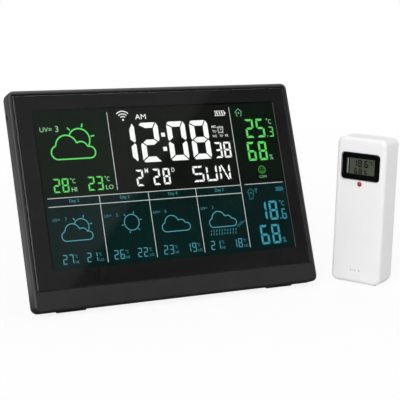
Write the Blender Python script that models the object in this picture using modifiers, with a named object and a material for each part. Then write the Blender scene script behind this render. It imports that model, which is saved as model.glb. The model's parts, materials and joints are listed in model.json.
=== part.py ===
"""Home weather station: a leaning desk console and its upright outdoor sensor.

Each assembly is modelled in its own frame and the frame is then set in place.
In both frames X runs across the front, Y runs from the front face back, and Z
runs up the front face. Lengths are in metres and angles in radians.
"""
import math

import bmesh
import bpy
from mathutils import Matrix, Vector

OBJECT_NAME = "home_weather_station"

# ---- clearances and walls shared by both assemblies
GAP = 0.0003                # between pieces that touch
CASE_WALL = 0.0018          # console shells
TUB_WALL = 0.0015           # battery tub and stand recess
SENSOR_WALL = 0.0016        # sensor shells
OVERSHOOT = 0.002           # how far a cutter runs past the face it opens
BITE = 0.0005               # how far a joined shape reaches into its neighbour
FLUSH = 0.0001              # keeps a joined flange's face off the face beside it

# ---- console, driving sizes
CONSOLE_WIDTH = 0.202
CONSOLE_HEIGHT = 0.139
CONSOLE_LEAN = math.radians(22.17)
SLAB_DEPTH = 0.0123         # front rim to the rear edge of the side wall
CORNER_RADIUS = 0.004
FRONT_EDGE_RADIUS = 0.0012
REAR_EDGE_RADIUS = 0.003
FRONT_DEPTH = 0.0020        # visible depth of the front case, up to the parting line
SKIRT_DEPTH = 0.0030        # how far the front case reaches into the rear case
RIM_WIDTH = 0.0020          # raised rim round the glass
GROOVE_WIDTH = 0.0010       # shadow groove between rim and glass
GROOVE_DEPTH = 0.0010
CHIN_HEIGHT = 0.0127        # plain strip under the glass
GLASS_THICKNESS = 0.0016
GLASS_EDGE = 0.0006         # polished bevel round the glass
GLASS_CORNER = 0.0012
LEDGE_THICKNESS = 0.0015    # carries the rim of the glass

LCD_SIDE_MARGIN = 0.0106    # LCD inside the console's outline
LCD_TOP_MARGIN = 0.0107
LCD_BOTTOM_MARGIN = 0.0223
LCD_THICKNESS = 0.0022
BACKLIGHT_MARGIN = 0.0016   # light guide frame beyond the LCD, sides and top
BACKLIGHT_STEP = 0.0023     # light guide frame stops short of the LCD's lower edge
BACKLIGHT_THICKNESS = 0.0035
RIBBON_WIDTH = 0.040
RIBBON_THICKNESS = 0.0003
RIBBON_BEND = 0.0004
RIBBON_TAIL = 0.0060

# ---- console, rear bulge
BULGE_SIDE_MARGIN = 0.023   # bulge inside the console's outline
BULGE_TOP_MARGIN = 0.015
BULGE_BOTTOM = 0.012
BULGE_CORNER = 0.008
BULGE_EDGE = 0.003

# ---- console, battery bay for three cells lying across the bulge
CELL_RADIUS = 0.00515
CELL_LENGTH = 0.0445
CELL_NUB_RADIUS = 0.0019
CELL_NUB_HEIGHT = 0.0008
CELL_EDGE = 0.0004
CELL_SPACE = 0.0009          # between neighbouring cells
CELL_COUNT = 3
CONTACT_THICKNESS = 0.0005
CONTACT_DEPTH = 0.0040       # contact plate each side of the cell's axis, front to back
CONTACT_RISE = 0.0045        # contact plate beyond the cell's axis, up and down
SPRING_LENGTH = 0.0060
SPRING_WIRE = 0.00025        # wire radius
SPRING_BASE = 0.0034
SPRING_TIP = 0.0017
SPRING_TURNS = 4
DOOR_THICKNESS = 0.0018
DOOR_LAP = 0.0030            # door beyond the bay, on each side
BAY_TOP_MARGIN = 0.01335     # bay below the bulge's top
BAY_CLEARANCE = 0.0016       # light guide to the battery tub

# ---- grip bars on both battery doors
GRIP_COUNT = 3
GRIP_PITCH = 0.0022
GRIP_HEIGHT = 0.0009
GRIP_HALF = 0.008            # console door
GRIP_DROP = 0.011            # lowest bar below the console door's top
GRIP_PROUD = 0.0005
SENSOR_GRIP_HALF = 0.006
SENSOR_GRIP_DROP = 0.0145
SENSOR_GRIP_PROUD = 0.0004

# ---- console, fold-out stand
STAND_WIDTH = 0.0466
STAND_ANGLE = math.radians(28.0)     # open stand from the vertical
STAND_HINGE_SETBACK = 0.0028 # pin's axis inside the bulge's back
STAND_HINGE_DROP = 0.01085   # pin's axis below the battery door
STAND_BARREL_RADIUS = 0.0026
STAND_PIN_RADIUS = 0.0012
STAND_PLATE_FRONT = 0.0009   # plate below the pin's axis, towards the case
STAND_PLATE_BACK = 0.0025    # plate above the pin's axis, to the outside
STAND_HEEL = 0.0042          # heel beyond the pin, which meets the recess floor
STAND_RIM = 0.0060           # rim round the sunk panel in the plate
STAND_PANEL_DEPTH = 0.0012
STAND_PANEL_TOP = 0.008      # panel's ends, from the pin and from the plate's tip
STAND_PANEL_BOTTOM = 0.014
STAND_PAD = 0.0017
STAND_PAD_INSET = 0.003
STAND_PAD_LIP = 0.0002
EAR_WIDTH = 0.003

# ---- console, boards and what they carry
BOARD_THICKNESS = 0.0016
BOARD_CLEARANCE = 0.0008     # board to the stand's recess
BOARD_MARGIN = 0.004         # board inside the bulge's outline
BOARD_CORNER = 0.003
BOARD_NOTCH_DROP = 0.00165   # notch for the battery tub, below the door
POST_RADIUS = 0.0022         # posts that press on the board
POST_INSET = 0.006           # posts inside the board's edges
POST_TOE = 0.002             # lower posts, further up from the board's lower edge
MODULE_GAP = 0.0091          # radio module beside the stand recess
MODULE_SIDE = 0.018          # and inside the bulge's side
MODULE_RISE = 0.028          # and above the bulge's lower edge
MODULE_SHARE = 8 / 17        # module's share of the height from there to the keypad
MODULE_BOARD = 0.0008
MODULE_TIN = 0.0030
BUZZER_GAP = 0.0231          # buzzer's centre beside the stand recess
BUZZER_RISE = 0.024
BUZZER_RADIUS = 0.0070
BUZZER_HEIGHT = 0.0040
PROBE_SIDE = 0.019           # indoor sensor's centre inside the bulge's side
PROBE_RISE = 0.011           # its lower edge above the bulge's lower edge
PROBE_SIZE = (0.012, 0.0010, 0.016)
PROBE_HEAD = (0.006, 0.0030, 0.006)

# ---- console, keys, screws, feet, openings
KEY_SIDE = 0.018             # key columns inside the bulge's sides
KEY_DROPS = (0.044, 0.030, 0.016)    # key rows below the bulge's top
KEY_WIDTH = 0.012
KEY_HEIGHT = 0.0065
KEY_EDGE = 0.0005
KEY_PROUD = 0.0012
KEY_FLANGE = 0.0012
KEY_LIP = 0.0008
KEY_TRAVEL = 0.0008
KEYPAD_HALF = 0.0055
KEYPAD_MARGINS = (0.006, 0.0045)     # sheet beyond the lowest and highest key
KEYPAD_SHEET = 0.0012
DOME_RADIUS = 0.0036
DOME_TIP = 0.0022
SNOOZE_WIDTH = 0.046
SNOOZE_DEPTH = 0.0036
SNOOZE_CENTRE = 0.0072       # depth of the snooze key's middle line
SNOOZE_LIP = 0.0015
SNOOZE_SKIRT = 0.0012
SNOOZE_SWITCH_HALF = 0.003
SNOOZE_PLUNGER = 0.0012
CASE_SCREW_RADIUS = 0.0010
CASE_SCREW_HEAD = 0.0020
CASE_SCREW_SINK = 0.0012     # depth of the seat for the screw head
CASE_SCREW_SIDE = 0.013      # screws inside the console's sides
CASE_SCREW_BOTTOM = 0.0110
CASE_SCREW_DROP = 0.0063
CASE_POST_RADIUS = 0.0024
CASE_BOSS_RADIUS = 0.0026
FOOT_WIDTH = 0.020
FOOT_DEPTH = 0.0040
FOOT_THICKNESS = 0.0014
FOOT_PROUD = 0.0004          # foot below the case's lowest line
FOOT_SIDE = 0.026            # foot's middle inside the console's side
JACK_DROP = 0.0158           # power inlet below the console's top
JACK_DEPTH = 0.0079
JACK_HOLE_RADIUS = 0.0021
JACK_BORE = 0.00175
JACK_PIN = 0.0005
JACK_PIN_LENGTH = 0.0050
JACK_HALF_HEIGHT = 0.0035
JACK_SETBACK = 0.0009        # clears the round inside the case's rear corner
KEYHOLE_SIDE = 0.028         # wall hooks inside the bulge's sides
KEYHOLE_DROP = 0.014         # and below the lowest key
KEYHOLE_RADIUS = 0.0036
KEYHOLE_SLOT = 0.0018
KEYHOLE_RISE = 0.0075
SLOT_COUNT = 6               # vent slots low in the bulge
SLOT_PITCH = 0.0042
SLOT_HEIGHT = 0.0014
SLOT_RISE = 0.010
SLOT_SIDES = (0.026, 0.008)
SOUND_COUNT = 5              # holes over the buzzer
SOUND_PITCH = 0.004
SOUND_RADIUS = 0.0008

# ---- sensor, driving sizes
SENSOR_WIDTH = 0.0361
SENSOR_HEIGHT = 0.1004
SENSOR_TURN = math.radians(-60.59)
SENSOR_STANDOFF = 0.0267     # sensor's front base centre beside the console
SENSOR_BACKSET = -0.00413    # and behind the console's front edge
SENSOR_CORNER = 0.0045
SENSOR_EDGE = 0.0026
SENSOR_REAR_EDGE = 0.0014
SENSOR_REAR_LIP = 0.0046     # rear shell's visible depth, with the joint
SENSOR_REAR_INSET = 0.0006
SENSOR_NUB = 0.0006          # nubs under the base
SENSOR_NUB_RADIUS = 0.0012
SENSOR_NUB_SIDE = 0.00505    # nubs inside the sides
SENSOR_NUB_DEPTHS = (0.0050, 0.0150)
SENSOR_WINDOW_MARGIN = 0.00395
SENSOR_WINDOW_HEIGHT = 0.0185
SENSOR_WINDOW_DROP = 0.0189  # window's middle below the case's top
SENSOR_WINDOW_THICKNESS = 0.0012
SENSOR_WINDOW_CORNER = 0.0022
SENSOR_WINDOW_BACKING = 0.0010
SENSOR_WINDOW_FRAME = 0.0013
SENSOR_LCD_MARGIN = 0.00285
SENSOR_LCD_HEIGHT = 0.0135
SENSOR_LCD_THICKNESS = 0.0020
SENSOR_BOARD_THICKNESS = 0.0012
SENSOR_BOARD_MARGIN = 0.0010
SENSOR_PROBE_HALF = 0.0040   # probe on the board, behind the vents
SENSOR_PROBE_DEPTH = 0.0016
SENSOR_PROBE_ROWS = (0.0066, 0.0126)
LED_RADIUS = 0.0015
LED_DROP = 0.0119            # LED below the window's middle
VENT_RADIUS = 0.0005
VENT_PITCH = 0.0031
VENT_HEIGHT = 0.0096
SENSOR_DOOR_THICKNESS = 0.0016
SENSOR_DOOR_LAP = 0.0022
SENSOR_DOOR_DROP = 0.0119    # door's top below the case's top
SENSOR_BAY_CLEARANCE = 0.0035        # board to the battery tub
SENSOR_BAY_DROP = 0.0335     # bay's middle below the controls
SENSOR_DECK_DROP = 0.0070    # controls below the door's top
CONTROL_HALF = 0.0016
SWITCH_COLUMN = 0.0070
SWITCH_SLOT = 0.0070
SWITCH_CAP = 0.0022
BUTTON_COLUMNS = (0.0030, 0.0085)
CONTROL_LIP = 0.0010
CONTROL_DEPTH = 0.0012
SENSOR_SCREW_RADIUS = 0.0008
SENSOR_SCREW_HEAD = 0.0016
SENSOR_SCREW_HEAD_HEIGHT = 0.0010
SENSOR_SCREW_LENGTH = 0.0085
SENSOR_SCREW_SINK = 0.0012
SENSOR_SCREW_SIDE = 0.00565  # screws inside the case's sides
SENSOR_SCREW_DROP = 0.0062   # screws and hanging hole below the top
SENSOR_POST_RADIUS = 0.0018
SENSOR_WEB = 0.0006
SENSOR_HANG_RADIUS = 0.0038

# ---- sizes worked out from the ones above
HALF = CONSOLE_WIDTH / 2
GLASS_HALF = HALF - RIM_WIDTH - GROOVE_WIDTH
GLASS_TOP = CONSOLE_HEIGHT - RIM_WIDTH - GROOVE_WIDTH
GLASS_FRONT = GAP
GLASS_BACK = GLASS_FRONT + GLASS_THICKNESS
LEDGE_FRONT = GLASS_BACK + GAP
LEDGE_BACK = LEDGE_FRONT + LEDGE_THICKNESS
LCD_HALF = HALF - LCD_SIDE_MARGIN
LCD_BOTTOM = LCD_BOTTOM_MARGIN
LCD_TOP = CONSOLE_HEIGHT - LCD_TOP_MARGIN
LCD_FRONT = LEDGE_FRONT
LCD_BACK = LCD_FRONT + LCD_THICKNESS
BACKLIGHT_HALF = LCD_HALF + BACKLIGHT_MARGIN
BACKLIGHT_FRONT = LCD_BACK + GAP
BACKLIGHT_BACK = BACKLIGHT_FRONT + BACKLIGHT_THICKNESS
SKIRT_INSET = CASE_WALL + GAP
SKIRT_BACK = FRONT_DEPTH + SKIRT_DEPTH
REAR_FRONT = FRONT_DEPTH + GAP
SLAB_FLOOR = SLAB_DEPTH - CASE_WALL

TUB_FRONT = BACKLIGHT_BACK + BAY_CLEARANCE
BAY_FLOOR = TUB_FRONT + TUB_WALL
CELL_DEPTH = BAY_FLOOR + GAP + CELL_RADIUS
DOOR_FRONT = CELL_DEPTH + CELL_RADIUS + GAP
CONSOLE_DEPTH = DOOR_FRONT + DOOR_THICKNESS  # front rim to the back of the bulge
BULGE_FLOOR = CONSOLE_DEPTH - CASE_WALL
BULGE_HALF = HALF - BULGE_SIDE_MARGIN
BULGE_TOP = CONSOLE_HEIGHT - BULGE_TOP_MARGIN
REBATE_FLOOR = DOOR_FRONT - GAP
CELL_PITCH = 2 * CELL_RADIUS + CELL_SPACE
BAY_HALF_HEIGHT = (CELL_COUNT - 1) / 2 * CELL_PITCH + CELL_RADIUS + GAP
BAY_HEIGHT = BULGE_TOP - BAY_TOP_MARGIN - BAY_HALF_HEIGHT
BAY_HALF_LENGTH = (CELL_LENGTH + SPRING_LENGTH + 3 * GAP) / 2 + CONTACT_THICKNESS + GAP
DOOR_HALF_WIDTH = BAY_HALF_LENGTH + TUB_WALL + DOOR_LAP
DOOR_BOTTOM = BAY_HEIGHT - BAY_HALF_HEIGHT - TUB_WALL - DOOR_LAP

STAND_HINGE_HEIGHT = DOOR_BOTTOM - STAND_HINGE_DROP
STAND_HINGE_DEPTH = CONSOLE_DEPTH - STAND_HINGE_SETBACK
STAND_SWING = STAND_ANGLE + CONSOLE_LEAN
HEEL_REACH = math.hypot(STAND_HEEL, STAND_PLATE_FRONT)
HEEL_TURN = STAND_SWING + math.atan2(STAND_PLATE_FRONT, STAND_HEEL)
RECESS_FLOOR = STAND_HINGE_DEPTH - HEEL_REACH * math.sin(HEEL_TURN) - GAP
RECESS_HALF = STAND_WIDTH / 2 + 2 * GAP
RECESS_OUTER = RECESS_HALF + EAR_WIDTH
RECESS_TOP = STAND_HINGE_HEIGHT + math.hypot(STAND_HEEL, STAND_PLATE_BACK) + 2 * GAP

BOARD_BACK = RECESS_FLOOR - TUB_WALL - BOARD_CLEARANCE
BOARD_DEPTH = BOARD_BACK - BOARD_THICKNESS
BOARD_HALF = BULGE_HALF - BOARD_MARGIN
BOARD_BOTTOM = BULGE_BOTTOM + BOARD_MARGIN
BOARD_TOP = BULGE_TOP - BOARD_MARGIN
POST_COLUMN = BOARD_HALF - POST_INSET
POST_ROWS = (BOARD_BOTTOM + POST_INSET + POST_TOE, BOARD_TOP - POST_INSET)
BUZZER_COLUMN = RECESS_OUTER + BUZZER_GAP
BUZZER_ROW = BULGE_BOTTOM + BUZZER_RISE
KEY_COLUMN = BULGE_HALF - KEY_SIDE
KEY_HEIGHTS = tuple(BULGE_TOP - drop for drop in KEY_DROPS)
KEYPAD_BOTTOM = KEY_HEIGHTS[0] - KEYPAD_MARGINS[0]
KEY_BACK = CONSOLE_DEPTH + KEY_PROUD
KEY_FLANGE_BACK = BULGE_FLOOR - GAP
KEY_FRONT = KEY_FLANGE_BACK - KEY_FLANGE
CASE_SCREW_COLUMN = HALF - CASE_SCREW_SIDE
CASE_SCREW_ROWS = (CASE_SCREW_BOTTOM, CONSOLE_HEIGHT - CASE_SCREW_DROP)
FOOT_COLUMN = HALF - FOOT_SIDE
JACK_HEIGHT = CONSOLE_HEIGHT - JACK_DROP
KEYHOLE_COLUMN = BULGE_HALF - KEYHOLE_SIDE
KEYHOLE_HEIGHT = KEY_HEIGHTS[0] - KEYHOLE_DROP

SENSOR_PLACE = (HALF + SENSOR_STANDOFF, SENSOR_BACKSET)
SENSOR_HALF = SENSOR_WIDTH / 2
SENSOR_WINDOW_HALF = SENSOR_HALF - SENSOR_WINDOW_MARGIN
SENSOR_WINDOW_CENTRE = SENSOR_HEIGHT - SENSOR_WINDOW_DROP
SENSOR_LCD_HALF = SENSOR_WINDOW_HALF - SENSOR_LCD_MARGIN
SENSOR_LCD_FRONT = SENSOR_WINDOW_THICKNESS + GAP
SENSOR_BOARD_FRONT = SENSOR_LCD_FRONT + GAP + SENSOR_LCD_THICKNESS + GAP
SENSOR_BOARD_BACK = SENSOR_BOARD_FRONT + SENSOR_BOARD_THICKNESS
SENSOR_BAY_FLOOR = SENSOR_BOARD_BACK + SENSOR_BAY_CLEARANCE + TUB_WALL
SENSOR_CELL_DEPTH = SENSOR_BAY_FLOOR + GAP + CELL_RADIUS
SENSOR_DOOR_FRONT = SENSOR_CELL_DEPTH + CELL_RADIUS + GAP
SENSOR_DEPTH = SENSOR_DOOR_FRONT + SENSOR_DOOR_THICKNESS
SENSOR_FRONT_DEPTH = SENSOR_DEPTH - SENSOR_REAR_LIP
SENSOR_REAR_FRONT = SENSOR_FRONT_DEPTH + GAP
LED_HEIGHT = SENSOR_WINDOW_CENTRE - LED_DROP
SENSOR_DOOR_TOP = SENSOR_HEIGHT - SENSOR_DOOR_DROP
SENSOR_DECK_HEIGHT = SENSOR_DOOR_TOP - SENSOR_DECK_DROP
SENSOR_BAY_HEIGHT = SENSOR_DECK_HEIGHT - SENSOR_BAY_DROP
SENSOR_BAY_HALF_WIDTH = CELL_PITCH / 2 + CELL_RADIUS + GAP
SENSOR_BAY_HALF_LENGTH = BAY_HALF_LENGTH
SENSOR_DOOR_HALF = SENSOR_BAY_HALF_WIDTH + SENSOR_DOOR_LAP
SENSOR_SCREW_COLUMN = SENSOR_HALF - SENSOR_SCREW_SIDE
SENSOR_SCREW_ROW = SENSOR_NUB + SENSOR_HEIGHT - SENSOR_SCREW_DROP
SENSOR_SCREW_SEAT = SENSOR_DOOR_FRONT - SENSOR_SCREW_SINK

# height of the console frame's origin: its rounded rear lower edge is the lowest line
EDGE_CENTRE_UP = REAR_EDGE_RADIUS
EDGE_CENTRE_BACK = SLAB_DEPTH - REAR_EDGE_RADIUS
EDGE_DROP = EDGE_CENTRE_BACK * math.sin(CONSOLE_LEAN) - EDGE_CENTRE_UP * math.cos(CONSOLE_LEAN)
CONSOLE_LIFT = EDGE_DROP + REAR_EDGE_RADIUS + FOOT_PROUD
FOOT_LINE = EDGE_CENTRE_UP * math.sin(CONSOLE_LEAN) + EDGE_CENTRE_BACK * math.cos(CONSOLE_LEAN)


# ---- scene, frames and materials

def clear_scene():
    """Remove every object that the file starts with."""
    for item in list(bpy.data.objects):
        bpy.data.objects.remove(item, do_unlink=True)


def new_collection(name):
    """Make a collection under the scene's own."""
    collection = bpy.data.collections.new(name)
    bpy.context.scene.collection.children.link(collection)
    return collection


def new_frame(name, parent=None, place=(0, 0, 0), turn=(0, 0, 0)):
    """Make an empty that pieces are parented to."""
    frame = bpy.data.objects.new(name, None)
    frame.empty_display_size = 0.02
    frame.location = place
    frame.rotation_euler = turn
    frame.parent = parent
    PARTS.objects.link(frame)
    return frame


def material(name, colour, roughness, metallic=0.0, alpha=1.0):
    """Make a Principled material."""
    made = bpy.data.materials.new(name)
    made.use_nodes = True
    shader = made.node_tree.nodes["Principled BSDF"]
    shader.inputs["Base Color"].default_value = (*colour, 1.0)
    shader.inputs["Roughness"].default_value = roughness
    shader.inputs["Metallic"].default_value = metallic
    shader.inputs["Alpha"].default_value = alpha
    made.diffuse_color = (*colour, alpha)
    return made


def new_part(name, mesh, frame, place=(0, 0, 0), turn=(0, 0, 0), look=None):
    """Put a mesh or curve in the scene as one named piece."""
    part = bpy.data.objects.new(name, mesh)
    part.location = place
    part.rotation_euler = turn
    part.parent = frame
    if look:
        mesh.materials.append(look)
    PARTS.objects.link(part)
    return part


# ---- meshes from modelling tools

def box_mesh(size, corner=0.0, edge=0.0, edge_at="front", corner_steps=4, edge_steps=3):
    """Box centred on its origin.

    corner rounds the four edges that run front to back. edge rounds the outline
    of the front face, the back face or both.
    """
    mesh = bpy.data.meshes.new("box")
    bm = bmesh.new()
    bmesh.ops.create_cube(bm, size=1.0)
    bmesh.ops.scale(bm, vec=size, verts=bm.verts)
    if corner > 0:
        runs = [e for e in bm.edges if abs(e.verts[0].co.y - e.verts[1].co.y) > size[1] / 2]
        round_edges(bm, runs, corner, corner_steps)
    faces = {"front": (-1,), "back": (1,), "both": (-1, 1)}[edge_at]
    if edge > 0:
        for side in faces:
            plane = side * size[1] / 2
            rim = [e for e in bm.edges if all(abs(v.co.y - plane) < 1e-7 for v in e.verts)]
            round_edges(bm, rim, edge, edge_steps)
    bm.to_mesh(mesh)
    bm.free()
    return mesh


def round_edges(bm, edges, radius, steps):
    """Bevel edges to a round of the given radius."""
    bmesh.ops.bevel(bm, geom=edges, offset=radius, offset_type="OFFSET", segments=steps,
                    profile=0.5, affect="EDGES", material=-1, clamp_overlap=True)


def cylinder_mesh(radius, length, axis="Y", sides=20, tip_radius=None):
    """Cylinder or cone frustum centred on its origin; the tip is at the axis's far end."""
    mesh = bpy.data.meshes.new("cylinder")
    bm = bmesh.new()
    tip = radius if tip_radius is None else tip_radius
    bmesh.ops.create_cone(bm, cap_ends=True, segments=sides, radius1=radius, radius2=tip,
                          depth=length)
    turn = {"X": Matrix.Rotation(math.pi / 2, 4, "Y"),
            "Y": Matrix.Rotation(-math.pi / 2, 4, "X"),
            "Z": Matrix.Identity(4)}[axis]
    bmesh.ops.transform(bm, matrix=turn, verts=bm.verts)
    bm.to_mesh(mesh)
    bm.free()
    return mesh


def turned_part(name, frame, profile, place, turn, look, steps=20):
    """Solid of revolution about Z: profile runs down the outer side, top to bottom."""
    mesh = bpy.data.meshes.new(name)
    mesh.from_pydata([(x, 0, z) for x, z in profile],
                     [(i, i + 1) for i in range(len(profile) - 1)], [])
    part = new_part(name, mesh, frame, place, turn, look)
    screw = part.modifiers.new("turn", "SCREW")
    screw.axis = "Z"
    screw.steps = steps
    screw.render_steps = steps
    screw.use_merge_vertices = True
    screw.merge_threshold = 0.00001
    return part


def coil_part(name, frame, place, turn, look):
    """Tapered contact spring along Z, from its base at the origin."""
    curve = bpy.data.curves.new(name, "CURVE")
    curve.dimensions = "3D"
    curve.bevel_depth = SPRING_WIRE
    curve.bevel_resolution = 1
    curve.use_fill_caps = True
    spline = curve.splines.new("POLY")
    count = SPRING_TURNS * 8 + 1
    spline.points.add(count - 1)
    for i, point in enumerate(spline.points):
        share = i / (count - 1)
        radius = SPRING_BASE + (SPRING_TIP - SPRING_BASE) * share
        angle = math.tau * SPRING_TURNS * share
        height = SPRING_WIRE + (SPRING_LENGTH - 2 * SPRING_WIRE) * share
        point.co = (radius * math.cos(angle), radius * math.sin(angle), height, 1.0)
    return new_part(name, curve, frame, place, turn, look)


def strip_part(name, frame, path, width, thickness, look):
    """Bent flat strip: path is its run in depth and height, width lies across."""
    mesh = bpy.data.meshes.new(name)
    bm = bmesh.new()
    line = [bm.verts.new((-width / 2, y, z)) for y, z in path]
    runs = [bm.edges.new(pair) for pair in zip(line, line[1:])]
    swept = bmesh.ops.extrude_edge_only(bm, edges=runs)
    moved = [v for v in swept["geom"] if isinstance(v, bmesh.types.BMVert)]
    bmesh.ops.translate(bm, vec=(width, 0, 0), verts=moved)
    bmesh.ops.recalc_face_normals(bm, faces=bm.faces)
    bm.to_mesh(mesh)
    bm.free()
    part = new_part(name, mesh, frame, look=look)
    solid = part.modifiers.new("thickness", "SOLIDIFY")
    solid.thickness = thickness
    solid.offset = 0.0
    return part


# ---- boxes by their corners, and Boolean steps

def middle(low, high):
    """Centre of a box given by two corners."""
    return tuple((a + b) / 2 for a, b in zip(low, high))


def extent(low, high):
    """Size of a box given by two corners."""
    return tuple(b - a for a, b in zip(low, high))


def box_part(name, frame, low, high, look, **rounding):
    """Box-shaped piece between two corners of its frame."""
    return new_part(name, box_mesh(extent(low, high), **rounding), frame, middle(low, high),
                    look=look)


def boolean(part, operation, mesh, frame, place, turn=(0, 0, 0)):
    """Cut or join a helper shape, which goes to the cutters' collection."""
    step = len(part.modifiers) + 1
    helper = bpy.data.objects.new(f"{part.name}_{operation.lower()}_{step}", mesh)
    helper.location = place
    helper.rotation_euler = turn
    helper.parent = frame
    helper.hide_render = True
    helper.display_type = "WIRE"
    CUTTERS.objects.link(helper)
    modifier = part.modifiers.new(helper.name, "BOOLEAN")
    modifier.operation = operation
    modifier.solver = "EXACT"
    modifier.object = helper
    return helper


def cut_box(part, frame, low, high, **rounding):
    """Cut a box between two corners of a frame."""
    boolean(part, "DIFFERENCE", box_mesh(extent(low, high), **rounding), frame, middle(low, high))


def join_box(part, frame, low, high, **rounding):
    """Join a box between two corners of a frame."""
    boolean(part, "UNION", box_mesh(extent(low, high), **rounding), frame, middle(low, high))


def keep_box(part, frame, low, high):
    """Keep only what lies in a box between two corners of a frame."""
    boolean(part, "INTERSECT", box_mesh(extent(low, high)), frame, middle(low, high))


def cut_round(part, frame, place, radius, length, axis="Y", sides=20):
    """Cut a cylinder centred at a place."""
    boolean(part, "DIFFERENCE", cylinder_mesh(radius, length, axis, sides), frame, place)


def join_round(part, frame, place, radius, length, axis="Y", sides=20, tip_radius=None):
    """Join a cylinder centred at a place."""
    boolean(part, "UNION", cylinder_mesh(radius, length, axis, sides, tip_radius), frame, place)


# ---- console: front case, glass and display

def make_front_case(frame):
    """Front case: rim, chin, ledge for the glass, and a skirt inside the rear case."""
    part = box_part("front_case", frame, (-HALF, 0, 0), (HALF, FRONT_DEPTH, CONSOLE_HEIGHT),
                    LOOKS["case"], corner=CORNER_RADIUS, edge=FRONT_EDGE_RADIUS)
    skirt_half = HALF - SKIRT_INSET
    skirt_top = CONSOLE_HEIGHT - SKIRT_INSET
    join_box(part, frame, (-skirt_half, FRONT_DEPTH - BITE, SKIRT_INSET),
             (skirt_half, SKIRT_BACK, skirt_top), corner=CORNER_RADIUS - CASE_WALL)
    cut_box(part, frame, (-skirt_half + TUB_WALL, LEDGE_BACK, SKIRT_INSET + TUB_WALL),
            (skirt_half - TUB_WALL, SKIRT_BACK + OVERSHOOT, skirt_top - TUB_WALL))
    pocket = GLASS_HALF + GAP
    cut_box(part, frame, (-pocket, -OVERSHOOT, CHIN_HEIGHT - GAP),
            (pocket, LEDGE_FRONT, GLASS_TOP + GAP))
    groove = HALF - RIM_WIDTH
    cut_box(part, frame, (-groove, -OVERSHOOT, CHIN_HEIGHT - GAP),
            (groove, GROOVE_DEPTH, CONSOLE_HEIGHT - RIM_WIDTH))
    cut_box(part, frame, (-LCD_HALF - GAP, 0, LCD_BOTTOM - GAP),
            (LCD_HALF + GAP, SKIRT_BACK, LCD_TOP + GAP))
    for column in (-CASE_SCREW_COLUMN, CASE_SCREW_COLUMN):
        for row in CASE_SCREW_ROWS:
            post_back = BACKLIGHT_BACK
            post_front = LEDGE_BACK - LEDGE_THICKNESS / 2
            length = post_back - post_front
            join_round(part, frame, (column, (post_back + post_front) / 2, row),
                       CASE_POST_RADIUS, length, sides=14)
            hole = length - 2 * BITE
            cut_round(part, frame, (column, post_back - hole / 2 + OVERSHOOT / 2, row),
                      CASE_SCREW_RADIUS + GAP, hole + OVERSHOOT, sides=12)
    return part


def make_display(frame):
    """Glass, LCD, light guide and the flat cable to the board."""
    box_part("display_window", frame, (-GLASS_HALF, GLASS_FRONT, CHIN_HEIGHT),
             (GLASS_HALF, GLASS_BACK, GLASS_TOP), LOOKS["window"], corner=GLASS_CORNER,
             corner_steps=3, edge=GLASS_EDGE, edge_steps=1)
    box_part("lcd_panel", frame, (-LCD_HALF, LCD_FRONT, LCD_BOTTOM),
             (LCD_HALF, LCD_BACK, LCD_TOP), LOOKS["lcd"])
    box_part("backlight_panel", frame,
             (-BACKLIGHT_HALF, BACKLIGHT_FRONT, LCD_BOTTOM + BACKLIGHT_STEP),
             (BACKLIGHT_HALF, BACKLIGHT_BACK, LCD_TOP + BACKLIGHT_MARGIN), LOOKS["light_guide"])
    start = LCD_BACK + BITE
    end = BOARD_DEPTH - BITE
    bend = RIBBON_BEND
    path = [(start, LCD_BOTTOM + 4 * bend), (start + bend, LCD_BOTTOM + bend)]
    path += [((start + end) / 2, LCD_BOTTOM - bend), (end - bend, LCD_BOTTOM + bend)]
    path += [(end, LCD_BOTTOM + 4 * bend), (end, LCD_BOTTOM + RIBBON_TAIL)]
    strip_part("lcd_ribbon", frame, path, RIBBON_WIDTH, RIBBON_THICKNESS, LOOKS["flex"])


# ---- console: rear case

def make_rear_case(frame):
    """Rear case: slab shell, bulge, battery tub, stand recess, posts and all openings."""
    part = box_part("rear_case", frame, (-HALF, REAR_FRONT, 0), (HALF, SLAB_DEPTH, CONSOLE_HEIGHT),
                    LOOKS["case_rear"], corner=CORNER_RADIUS, edge=REAR_EDGE_RADIUS,
                    edge_at="back")
    half = BULGE_HALF
    join_box(part, frame, (-half, SLAB_FLOOR, BULGE_BOTTOM), (half, CONSOLE_DEPTH, BULGE_TOP),
             corner=BULGE_CORNER, edge=BULGE_EDGE, edge_at="back")
    cut_box(part, frame, (-HALF + CASE_WALL, REAR_FRONT - OVERSHOOT, CASE_WALL),
            (HALF - CASE_WALL, SLAB_FLOOR, CONSOLE_HEIGHT - CASE_WALL),
            corner=CORNER_RADIUS - CASE_WALL, edge=REAR_EDGE_RADIUS - CASE_WALL, edge_at="back",
            edge_steps=2)
    cut_box(part, frame, (-half + CASE_WALL, SLAB_FLOOR - OVERSHOOT, BULGE_BOTTOM + CASE_WALL),
            (half - CASE_WALL, BULGE_FLOOR, BULGE_TOP - CASE_WALL),
            corner=BULGE_CORNER - CASE_WALL, edge=BULGE_EDGE - CASE_WALL, edge_at="back",
            edge_steps=2)
    add_battery_tub(part, frame)
    add_stand_recess(part, frame)
    add_rear_posts(part, frame)
    cut_rear_openings(part, frame)
    return part


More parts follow.
